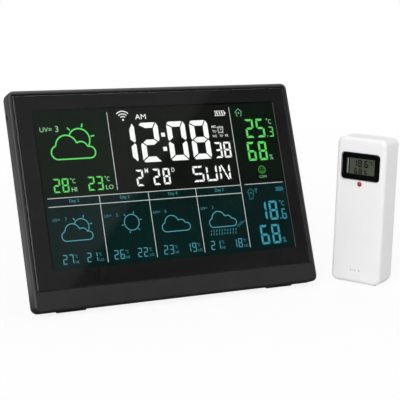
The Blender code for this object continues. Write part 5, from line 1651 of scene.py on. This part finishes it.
    def build_forecast(self) -> None:
        """Build the four coming days."""
        stencil, labels, row = Stencil(), Stencil(), self.forecast_row
        icons = Icons(stencil, 0.55)
        icons.cloud((-77.45, 19.95), 0.697, sunny=True)
        icons.sun((-29.3, 28.5), 5.1)
        for place in ((-8.5, 20.3), (25.95, 20.4)):
            icons.cloud(place, 0.68)
        Icons(stencil, 0.38).rain((26.6, 18.8), 45.6, 2.05)
        Icons(labels, 0.24).umbrella((46.4, 19.6))
        for text, left, label in (
                ("27", -78.7, "HI"), ("21", -62.7, "LO"), ("26", -44.3, "HI"),
                ("22", -28.0, "LO"), ("23", -9.6, "HI"), ("19", 6.8, "LO"),
                ("21", 24.7, "HI"), ("18", 41.1, "LO")):
            self.forecast.draw(stencil, text, (left, row), 4.1)
            labels.words(label, (left + 7.9, row), 1.75)
            self.units(labels, (left + 8.6, row + 3.5), 1.8)
        self.art("forecast_marks", stencil, self.mark_blue)
        for day, middle, level in ((2, -66.3, "7"), (3, -31.7, "5"), (4, 2.4, "6"),
                                   (5, 36.9, "3")):
            labels.words(f"Day {day}", (middle, 44.2), 2.0, 0.02, align=Align.CENTRE)
            labels.words("UV=", (middle - 15.9, 32.8), 1.9)
            labels.words(level, (middle - 7.8, 32.8), 2.2)
        self.art("forecast_labels", labels, self.dim_blue)


@dataclass
class Shells(Assembly):
    """Moulded shells, doors and keys carried over from the CAD with soft shading."""

    def carry(self, node: str, finish: Finish, slot: Slot, body: Optional[str] = None,
              edge: float = 0.0) -> None:
        """Build a joined, smooth copy of a CAD node.

        Args:
            node: the node.
            finish: its finish.
            slot: its slot in the record.
            body: the body it rides on, if not the assembly's own.
            edge: radius given to its sharp edges.
        """
        bm = merged_copy(node, self.axes)
        if edge > 0:
            round_edges(bm, sharp_edges(bm), edge)
        self.piece(node + "_shell", bm, finish, slot, [node], body, even=True)


@dataclass
class FrontShell(Assembly):
    """Console's front shell, whose narrow rim rolls over toward its sides."""

    corner: float = 0.004
    edge: float = 0.0012
    rim: float = 0.0017
    groove_side: float = 0.002
    groove_floor: float = 0.001
    groove_shift: float = 0.0004
    chin_edge: float = 0.0003
    # how near the groove's wall or floor a point has to lie, and the share by which the
    # limits of the front edge are eased
    reach: float = 0.00002
    slack: float = 0.001

    def build(self) -> None:
        """Build the shell with its rolled rim, narrow groove and softened chin."""
        bm = merged_copy("front_case", self.axes)
        box = self.axes.box("front_case")
        self.roll_rim(bm, box)
        self.narrow_groove(bm, box.inset(self.groove_side))
        chin = self.axes.box("display_window").low.z
        round_edges(bm, [e for e in edges_in_plane(bm, 1, box.low.y)
                         if all(abs(v.co.z - chin) < self.chin_edge for v in e.verts)],
                    self.chin_edge, 2)
        self.piece("front_case_shell", bm, BLACK_CASE, Slot.CASE, ["front_case"], even=True)

    def roll_rim(self, bm: Mesh, box: Box) -> None:
        """Widen the front edge's round until it takes up the whole rim.

        Args:
            bm: the shell's mesh.
            box: the shell's box.
        """
        half = Vector((box.size.x / 2 - self.corner, box.size.z / 2 - self.corner))
        for vert in bm.verts:
            place = vert.co.xz - box.middle.xz
            past = Vector((max(abs(place.x) - half.x, 0.0), max(abs(place.y) - half.y, 0.0)))
            inward = self.corner - past.length
            if (vert.co.y > self.edge * (1 - self.slack) or past.length < NEAR
                    or inward > self.edge * (1 + self.slack)):
                continue
            shift = past.normalized() * inward * (self.rim / self.edge - 1.0)
            vert.co.x -= math.copysign(shift.x, place.x)
            vert.co.z -= math.copysign(shift.y, place.y)

    def narrow_groove(self, bm: Mesh, wall: Box) -> None:
        """Move the groove's outer wall toward the window, but not at its foot.

        Args:
            bm: the shell's mesh.
            wall: box that the wall runs round.
        """
        sides = ((0, wall.low.x, 1), (0, wall.high.x, -1), (2, wall.high.z, -1))
        for vert in (v for v in bm.verts if v.co.y < self.groove_floor + self.reach):
            near = [(axis, way) for axis, place, way in sides
                    if abs(vert.co[axis] - place) < self.reach]
            for axis, way in near:
                vert.co[axis] += way * self.groove_shift


# ---- keys, doors and cells

class Legend(Enum):
    """Legends of the rear keys."""

    MODE = "MODE"
    UP = "UP"
    DOWN = "DOWN"
    ALARM = "ALARM"
    CHANNEL = "CH"
    RADIO = "RADIO"


@dataclass
class KeyCap(Assembly):
    """Oblong rear key with a dished top, a flange under the case and a printed legend."""

    legend: Legend
    width: float = 0.0119
    height: float = 0.0064
    flange: float = 0.0012
    flange_corner: float = 0.001
    edge: float = 0.0005
    dish_inset: float = 0.0007
    dish_depth: float = 0.0002
    # straight stretch left beside each rounded corner of its ends
    end_flat: float = 0.0001
    print_thickness: float = 0.00005
    # sizes of the legend in millimetres
    letters: float = 1.6
    arrow: Pair = (1.7, 0.85)
    arrow_line: float = 0.36
    fan: float = 0.62
    fan_line: float = 0.34

    def build(self) -> None:
        """Build the cap and its legend."""
        node = self.body
        box = self.axes.box(node)
        middle, foot, top = box.middle, box.low.y + self.flange, box.high.y
        half = Vector((self.width / 2, 0.0, self.height / 2))
        cap = rounded_block(Box(Vector((middle.x, foot, middle.z)) - half,
                                Vector((middle.x, top, middle.z)) + half),
                            half.z - self.end_flat, back=self.edge, corner_segments=9)
        step_face(cap, 1, self.dish_inset, -self.dish_depth)
        flange = Box(box.low, Vector((box.high.x, foot, box.high.z)))
        absorb(cap, rounded_block(flange, self.flange_corner))
        self.piece(node + "_cap", cap, BLACK_KEY, Slot.KEY, [node])
        base = Vector((middle.x, top - self.dish_depth, middle.z))
        self.piece(node + "_legend", self.print().raised(base, self.print_thickness, True),
                   LEGEND_INK, Slot.KEY)

    def print(self) -> Stencil:
        """Draw the legend round the key's middle, in millimetres.

        Returns:
            The artwork.
        """
        stencil = Stencil()
        if self.legend is Legend.RADIO:
            Icons(stencil, self.fan_line).fan((0.0, -1.7), self.fan)
        elif self.legend in (Legend.UP, Legend.DOWN):
            side, point = self.arrow
            point = point if self.legend is Legend.UP else -point
            stencil.strokes((0.0, 0.0), self.arrow_line, (side, -point, -0.12, point),
                            both=True)
        else:
            stencil.words(self.legend.value, (0.0, -self.letters / 2), self.letters, 0.02,
                          align=Align.CENTRE)
        return stencil


@dataclass
class DoorMark(Assembly):
    """Raised arrow and word that show which way a battery door slides."""

    shell: str
    joint: str
    finish: Finish
    slot: Slot
    # height of its middle above the door's foot in metres, then sizes in millimetres
    middle: float
    letters: float = 2.6
    line: float = 0.55
    # height of the raised mark in metres
    thickness: float = 0.00018

    def build(self) -> None:
        """Build the mark on the door's outer face."""
        door, size = self.axes.box(self.body), self.letters
        rise = math.copysign(1.0, joint_axis(self.joint).dot(self.axes.up))
        stencil = Stencil()
        stencil.words("OPEN", (0.0, (-0.9 * rise - 0.5) * size), size, 0.02, align=Align.CENTRE)
        stencil.strokes((0.0, 0.0), self.line, (size, 0.1 * rise, -0.2, rise * size),
                        both=True)
        base = Vector((door.middle.x, self.axes.box(self.shell).high.y,
                       door.low.z + self.middle))
        self.piece(self.body + "_mark", stencil.raised(base, self.thickness, True),
                   self.finish, self.slot)


@dataclass
class DryCell(Assembly):
    """Dry cell with its steel can, sleeve and pale band, and the spring at its foot."""

    node: str
    spring: str
    nub: float = 0.0019
    nub_height: float = 0.0009
    fold: float = 0.0007
    dimple: Pair = (0.0029, 0.0033)
    dimple_depth: float = 0.0003
    wall: float = 0.00012
    band: float = 0.0095
    wire: float = 0.00025
    tip: float = 0.0017
    turns: int = 4

    def build(self) -> None:
        """Build the cell and its spring."""
        cell, spring = self.axes.box(self.node), self.axes.box(self.spring)
        axis = max(range(3), key=lambda i: cell.size[i])
        way = Vector((0.0, 0.0, 0.0))
        way[axis] = math.copysign(1.0, cell.middle[axis] - spring.middle[axis])
        length, radius = cell.size[axis], min(cell.size) / 2
        body = length - self.nub_height
        seam = body - self.band
        for ending, profile, finish, slot in (
                ("_can", self.can(radius, body, length), NICKEL, Slot.STEEL),
                ("_sleeve", self.sleeve(radius, 0.0, seam, False), BLUE_SLEEVE, Slot.SLEEVE),
                ("_band", self.sleeve(radius, seam, body, True), PALE_BAND, Slot.SLEEVE)):
            can = ending == "_can"
            bm = turned(profile, not can)
            aim(bm, self.foot(cell, way), way)
            self.piece(self.node + ending, bm, finish, slot, [self.node] if can else [])
        base = (sum(spring.size) - spring.size[axis]) / 4 - self.wire
        wound = coil(self.wire, base, self.tip, spring.size[axis], self.turns)
        aim(wound, self.foot(spring, way), way)
        self.piece(self.spring + "_coil", wound, NICKEL, Slot.STEEL, [self.spring],
                   crease=ROUND_CREASE)

    @staticmethod
    def foot(box: Box, way: Vector) -> Vector:
        """Middle of the face that a box turns away from a way along one axis."""
        return box.middle - Vector(s * w / 2 for s, w in zip(box.size, way))

    def can(self, radius: float, body: float, length: float) -> list[Pair]:
        """Profile of the can.

        Args:
            radius: radius of the whole cell.
            body: height of the can's shoulder.
            length: height of its cap.

        Returns:
            Radius and height of each point, from the foot's middle to the cap's middle.
        """
        inner, lip = radius - self.wall * 1.2, radius - self.fold - 0.0001
        bottom, rim = self.dimple
        return [(0.0, self.dimple_depth), (bottom, self.dimple_depth), (rim, 0.00002),
                (lip, 0.00004),
                (inner, self.fold), (inner, body - self.fold), (lip, body - 0.00004),
                (self.nub + 0.0006, body - 0.0002), (self.nub, body),
                (self.nub, length - 0.0003), (self.nub - 0.0003, length), (0.0, length)]

    def sleeve(self, radius: float, low: float, high: float, last: bool) -> list[Pair]:
        """Closed profile of a stretch of sleeve, folded over the cell's end.

        Args:
            radius: radius of the whole cell.
            low: height of its lower end.
            high: height of its upper end.
            last: whether the fold is at the upper end.

        Returns:
            Radius and height of each point.
        """
        fold, wall, length = self.fold, self.wall, high - low
        profile = [(radius - fold * 0.95, 0.0), (radius - fold * 0.45, fold * 0.1),
                   (radius - fold * 0.12, fold * 0.42), (radius, fold), (radius, length),
                   (radius - wall, length), (radius - wall, fold),
                   (radius - fold * 0.95, wall)]
        return [(r, high - h if last else low + h) for r, h in profile]


# ---- sensor front

@dataclass
class SensorFace(Assembly):
    """Sensor's window with its printed frame, the small display and the red light."""

    corner: float = 0.0022
    edge: float = 0.0003
    print_gap: float = 0.00002
    print_thickness: float = 0.00004
    print_inset: float = 0.0002
    frame_low: Pair = (-0.0105, 0.0762)
    frame_high: Pair = (0.0101, 0.0870)
    upper_row: float = 6.4
    lower_row: float = 1.8
    large: SegmentFont = SegmentFont(2.9, 4.9, 0.9, 0.16)
    small: SegmentFont = SegmentFont(2.5, 3.7, 0.75, 0.14)

    def build(self) -> None:
        """Build the window, its frame, the display and the lens."""
        box = self.axes.box("sensor_window")
        glass = rounded_block(box, self.corner, front=self.edge, edge_segments=2)
        self.piece("sensor_window_clear", glass, CLEAR_WINDOW, Slot.WINDOW, ["sensor_window"],
                   crease=GLASS_CREASE)
        face = box.high.y + self.print_gap
        ink = Box(Vector((box.low.x, face, box.low.z)),
                  Vector((box.high.x, face + self.print_thickness, box.high.z)))
        ring = rounded_block(ink.inset(self.print_inset), self.corner)
        cut_window(ring, 2, self.frame_low, self.frame_high)
        bmesh.ops.bridge_loops(ring, edges=[e for e in ring.edges if e.is_boundary])
        bmesh.ops.recalc_face_normals(ring, faces=ring.faces)
        self.piece("sensor_window_frame", ring, SENSOR_INK_AND_PAINTED_SHADOW, Slot.WINDOW)
        self.build_display()
        self.piece("sensor_light", merged_copy("led_lens", self.axes), RED_LENS, Slot.LED,
                   ["led_lens"], crease=ROUND_CREASE)

    def build_display(self) -> None:
        """Build the display cell with its digits, a dark strip of painted shadow and a pale
        painted glint along its left edge.
        """
        cell = self.axes.box("sensor_lcd")
        self.piece("sensor_display_cell", rounded_block(cell, 0.0003, 0.0001, 0.0001, 2, 1),
                   OLIVE_CELL, Slot.GREY_DISPLAY, ["sensor_lcd"])
        digits, glint = Stencil(), Stencil()
        self.large.draw(digits, "18", (-6.0, self.upper_row), 3.7)
        digits.patch((1.2, self.upper_row), (1.9, self.upper_row + 0.7))
        self.large.draw(digits, "6", (2.4, self.upper_row))
        digits.ring((6.4, 10.7), 0.4, 0.3)
        digits.words("C", (7.1, 8.9), 2.2, 0.05)
        self.small.draw(digits, "68", (-4.9, self.lower_row), 3.3)
        digits.words("%", (2.0, self.lower_row), 3.0, 0.05)
        # painted shadow: a dark strip inside the display's left edge, where the display sits
        # deeper behind its frame
        digits.patch((-9.2, 1.0), (-8.45, 12.4))
        # painted highlight: a pale glint along the glass edge beside the strip
        glint.patch((-9.95, 1.9), (-9.35, 11.9))
        base = Vector((cell.middle.x, cell.low.y, cell.low.z))
        for name, stencil, finish in (("sensor_display_painted_glint", glint, PAINTED_GLINT),
                                      ("sensor_digits_and_painted_shadow", digits, SENSOR_INK_AND_PAINTED_SHADOW)):
            self.piece(name, stencil.raised(base, self.print_thickness), finish,
                       Slot.GREY_DISPLAY)


# ---- studio

@dataclass
class Studio:
    """Pale floor, soft light and the camera."""

    console: LocalAxes
    sensor: float = 36.0
    lens: float = 108.0
    sight: Pair = (0.01, 60.0)
    camera_place: Colour = (-0.366394, -0.686788, 0.219237)
    yaw: float = 0.48501440
    pitch: float = 0.20218195
    roll: float = 0.02809992
    floor_size: float = 12.0
    floor_grey: float = 0.88
    # how much white glow the floor has, near and far, and where that changes
    glow: Pair = (0.88, 1.0)
    glow_reach: Pair = (0.25, 0.9)
    # level of the surround that lights the object
    light: float = 0.55
    # levels of the walls, before and behind the object, and how a ray leans between them
    walls: Pair = (0.8, 0.5)
    wall_spread: Pair = (-0.4, 0.1)
    # levels of the flag, away from and toward its lighter side, and its outline's blur
    flag: Pair = (0.004, 0.02)
    lighter_side: Colour = (0.93, -0.15, 0.33)
    lighter_spread: Pair = (0.57, 0.76)
    flag_spread: Pair = (0.80, 0.92)
    # level, blur, colour and outline of the lit card that stands before the flag
    card: float = 0.125
    card_spread: Pair = (-0.004, 0.004)
    card_colour: Colour = (1.0, 0.995, 0.99)
    card_top: Pair = (0.0436, 0.1374)
    card_bottom: Pair = (-0.0761, 0.0137)
    card_side: Pair = (-0.09, 0.13)
    window_middle: float = 0.07
    # direction, spread and strength of each softbox
    softboxes: tuple[tuple[Colour, Pair, float], ...] = (
        ((-0.72, -0.56, 0.42), (0.86, 0.93), 2.0),
        ((-0.86, -0.40, 0.31), (0.89, 0.95), 2.8),
        ((0.10, -0.06, 0.99), (0.77, 0.90), 2.9),
    )
    # distance behind the middle and brightness of the floor's mirrored sheen
    floor_sheen: tuple[Pair, ...] = ((0.0, 0.01), (0.04, 0.85), (0.16, 0.7), (0.6, 0.33))
    # name, place, size and power of each lamp
    lamps: tuple[tuple[str, Colour, float, float], ...] = (
        ("key_lamp", (-1.2, -1.0, 1.3), 1.1, 22.0),
        ("fill_lamp", (1.3, -1.1, 0.9), 1.2, 4.5),
        ("top_lamp", (0.6, 0.65, 1.1), 0.8, 2.5),
    )
    target: Colour = (0.0, 0.0, 0.06)

    def build(self) -> None:
        """Build the camera, the floor, the world and the lamps."""
        bpy.context.scene.view_settings.view_transform = "Standard"
        self.add_camera()
        self.add_floor()
        self.add_world()
        for lamp in self.lamps:
            self.add_lamp(*lamp)

    def add_camera(self) -> None:
        """Add the camera that looks at the console's front from the left."""
        data = bpy.data.cameras.new("camera")
        data.sensor_width, data.lens = self.sensor, self.lens
        data.clip_start, data.clip_end = self.sight
        camera = show("camera", data)
        camera.matrix_world = (Matrix.Translation(self.camera_place)
                               @ Matrix.Rotation(-self.yaw, 4, "Z")
                               @ Matrix.Rotation(math.pi / 2 - self.pitch, 4, "X")
                               @ Matrix.Rotation(self.roll, 4, "Z"))
        bpy.context.scene.camera = camera

    def add_floor(self) -> None:
        """Add the pale floor, white to the eye but keeping the object's soft shadow."""
        half = self.floor_size
        bm, mesh = sheet_between((-half, -half), (half, half)), bpy.data.meshes.new("floor")
        bm.to_mesh(mesh)
        bm.free()
        sheet = NodeSheet("pale_floor")
        sheet.set(Base_Color=(self.floor_grey,) * 3, Roughness=0.9, Specular_IOR_Level=0.1)
        path = sheet.add("LightPath")
        away = sheet.add("VectorMath", {0: sheet.place}, operation="LENGTH").outputs["Value"]
        share = sheet.spread(away, *self.glow, *self.glow_reach)
        weight = sheet.add("Math", {0: path.outputs["Is Camera Ray"], 1: share},
                           operation="MULTIPLY").outputs["Value"]
        seen = sheet.mixed(weight, sheet.shader.outputs["BSDF"],
                           sheet.add("Emission").outputs["Emission"])
        behind = sheet.ramp(sheet.add("SeparateXYZ", {0: sheet.place}).outputs["Y"],
                            [(place, (level,) * 3) for place, level in self.floor_sheen])
        sheen = sheet.add("Emission", {"Strength": behind}).outputs["Emission"]
        surface = sheet.mixed(sheet.mirror_rays(path), seen, sheen)
        sheet.feed(sheet.tree.nodes["Material Output"].inputs["Surface"], surface)
        mesh.materials.append(sheet.material)
        show("floor", mesh)

    def add_world(self) -> None:
        """Add the surround: white to the eye, with a dark flag for the window to mirror."""
        world = bpy.data.worlds.new("studio")
        bpy.context.scene.world = world
        world.use_nodes = True
        world.node_tree.nodes.clear()
        sky = Surround(world.node_tree)
        path = sky.add("LightPath")
        dark = sky.mixed(sky.toward(self.lighter_side, *self.lighter_spread),
                         *(sky.plain(level) for level in self.flag))
        card = sky.plain(self.card, self.card_colour)
        flag = sky.mixed(sky.toward(self.card_normal(), *self.card_spread), dark, card)
        walls = sky.mixed(sky.toward((0.0, 1.0, 0.0), *self.wall_spread),
                          *(sky.plain(level) for level in self.walls))
        mirrored = sky.mixed(sky.toward(self.flag_way(), *self.flag_spread), walls, flag)
        for direction, edges, level in self.softboxes:
            inside = sky.toward(Vector(direction).normalized(), *edges)
            mirrored = sky.mixed(inside, mirrored, sky.plain(level))
        around = sky.mixed(sky.mirror_rays(path), sky.plain(self.light), mirrored)
        around = sky.mixed(path.outputs["Is Camera Ray"], around, sky.plain(1.0))
        sky.add("OutputWorld", {"Surface": around})

    def card_normal(self) -> Vector:
        """Normal of the plane through the eye's mirror image and the lit card's edge.

        Returns:
            The normal, toward the card's lit side.
        """
        eye, out = Vector(self.camera_place), -self.console.back
        image = eye - out * 2 * (eye - self.console.origin).dot(out)
        top, bottom, side = (self.console.to_world(Vector((x, 0.0, z))) - image
                             for x, z in (self.card_top, self.card_bottom, self.card_side))
        normal = top.cross(bottom).normalized()
        return normal if normal.dot(side) > 0 else -normal

    def flag_way(self) -> Vector:
        """Direction in which the eye sees the surround mirrored by the window's middle.

        Returns:
            The direction.
        """
        middle = self.console.to_world(Vector((0.0, 0.0, self.window_middle)))
        sight = (middle - Vector(self.camera_place)).normalized()
        return sight - self.console.back * 2 * sight.dot(self.console.back)

    def add_lamp(self, name: str, place: Colour, size: float, power: float) -> None:
        """Add a soft square lamp that faces the object and that nothing mirrors.

        Args:
            name: name of the lamp.
            place: its middle.
            size: length of its sides.
            power: its power.
        """
        data = bpy.data.lights.new(name, "AREA")
        data.shape, data.size, data.energy = "SQUARE", size, power
        lamp = show(name, data)
        turn = (Vector(self.target) - Vector(place)).to_track_quat("-Z", "Y")
        lamp.matrix_world = Matrix.Translation(place) @ turn.to_matrix().to_4x4()
        lamp.visible_camera = lamp.visible_glossy = lamp.visible_transmission = False


class Surround(NodeGraph):
    """Nodes of the world round the object."""

    def __init__(self, tree: bpy.types.NodeTree) -> None:
        """Take up the world's tree."""
        super().__init__(tree)
        self.way = self.add("TexCoord").outputs["Generated"]

    def plain(self, strength: float, colour: Colour = (1.0, 1.0, 1.0)) -> Socket:
        """A surround of one colour."""
        parts = {"Color": colour, "Strength": strength}
        return self.add("Background", parts).outputs["Background"]

    def toward(self, direction: Sequence[float], low: float, high: float) -> Socket:
        """How far a ray leans toward a direction.

        Args:
            direction: the direction.
            low: lean at which the result is 0.
            high: lean at which it is 1.

        Returns:
            The eased factor.
        """
        lean = self.add("VectorMath", {0: self.way, 1: direction}, operation="DOT_PRODUCT")
        return self.spread(lean.outputs["Value"], 0.0, 1.0, low, high, "SMOOTHSTEP")


def dress_kept_nodes() -> None:
    """Give every CAD node that still shows its procedural finish."""
    for name, node in sorted(frame["nodes"].items()):
        if node.hide_render:
            continue
        finish = KEPT_FINISHES[Slot(node.data.materials[0].name.split(".")[0])]
        for holder in node.material_slots:
            holder.material = finish.material()
        LOG.info("%s keeps its CAD shape, %s", name, finish.name)


def build_console(axes: LocalAxes) -> None:
    """Build the console's pieces.

    Args:
        axes: the console's axes.
    """
    for part in (FrontWindow, DisplayArt, FrontShell):
        part(axes, "console").build()
    shells = Shells(axes, "console")
    shells.carry("rear_case", BLACK_REAR, Slot.REAR)
    shells.carry("battery_door", BLACK_REAR, Slot.REAR, "battery_door", 0.0003)
    shells.carry("stand_leg", BLACK_REAR, Slot.REAR, "stand")
    shells.carry("stand_pad", DARK_RUBBER, Slot.RUBBER, "stand", 0.0003)
    shells.carry("foot_left", DARK_RUBBER, Slot.RUBBER, edge=0.0006)
    shells.carry("foot_right", DARK_RUBBER, Slot.RUBBER, edge=0.0006)
    shells.carry("snooze_key", BLACK_KEY, Slot.KEY, "snooze_key", 0.0004)
    for name, legend in (("key_mode", Legend.MODE), ("key_up", Legend.UP),
                         ("key_down", Legend.DOWN), ("key_alarm", Legend.ALARM),
                         ("key_channel", Legend.CHANNEL), ("key_wifi", Legend.RADIO)):
        KeyCap(axes, name, legend).build()
    DoorMark(axes, "battery_door", "rear_case", "battery_door_slide", BLACK_REAR, Slot.REAR,
             0.034).build()
    for number in (1, 2, 3):
        DryCell(axes, "console", f"console_cell_{number}", f"contact_spring_{number}").build()


def build_sensor(axes: LocalAxes) -> None:
    """Build the sensor's pieces.

    Args:
        axes: the sensor's axes.
    """
    shells = Shells(axes, "sensor")
    shells.carry("sensor_front_case", WHITE_CASE, Slot.WHITE)
    shells.carry("sensor_rear_case", WHITE_CASE, Slot.WHITE)
    shells.carry("sensor_battery_door", WHITE_CASE, Slot.WHITE, "sensor_battery_door", 0.0003)
    SensorFace(axes, "sensor").build()
    DoorMark(axes, "sensor_battery_door", "sensor_rear_case", "sensor_door_slide", WHITE_CASE,
             Slot.WHITE, 0.062, 2.0).build()
    for number in (1, 2):
        DryCell(axes, "sensor", f"sensor_cell_{number}", f"sensor_spring_{number}").build()


def main() -> None:
    """Build the studio and the whole object."""
    logging.basicConfig(level=logging.INFO, format="%(message)s")
    console = LocalAxes.of_shell("front_case", -joint_axis("key_mode_press"),
                                 joint_axis("battery_door_slide"))
    sensor = LocalAxes.of_shell("sensor_front_case", -joint_axis("unit_button_press"),
                                Vector((0.0, 0.0, 1.0)))
    Studio(console).build()
    build_console(console)
    build_sensor(sensor)
    dress_kept_nodes()


if __name__ == "__main__":
    main()
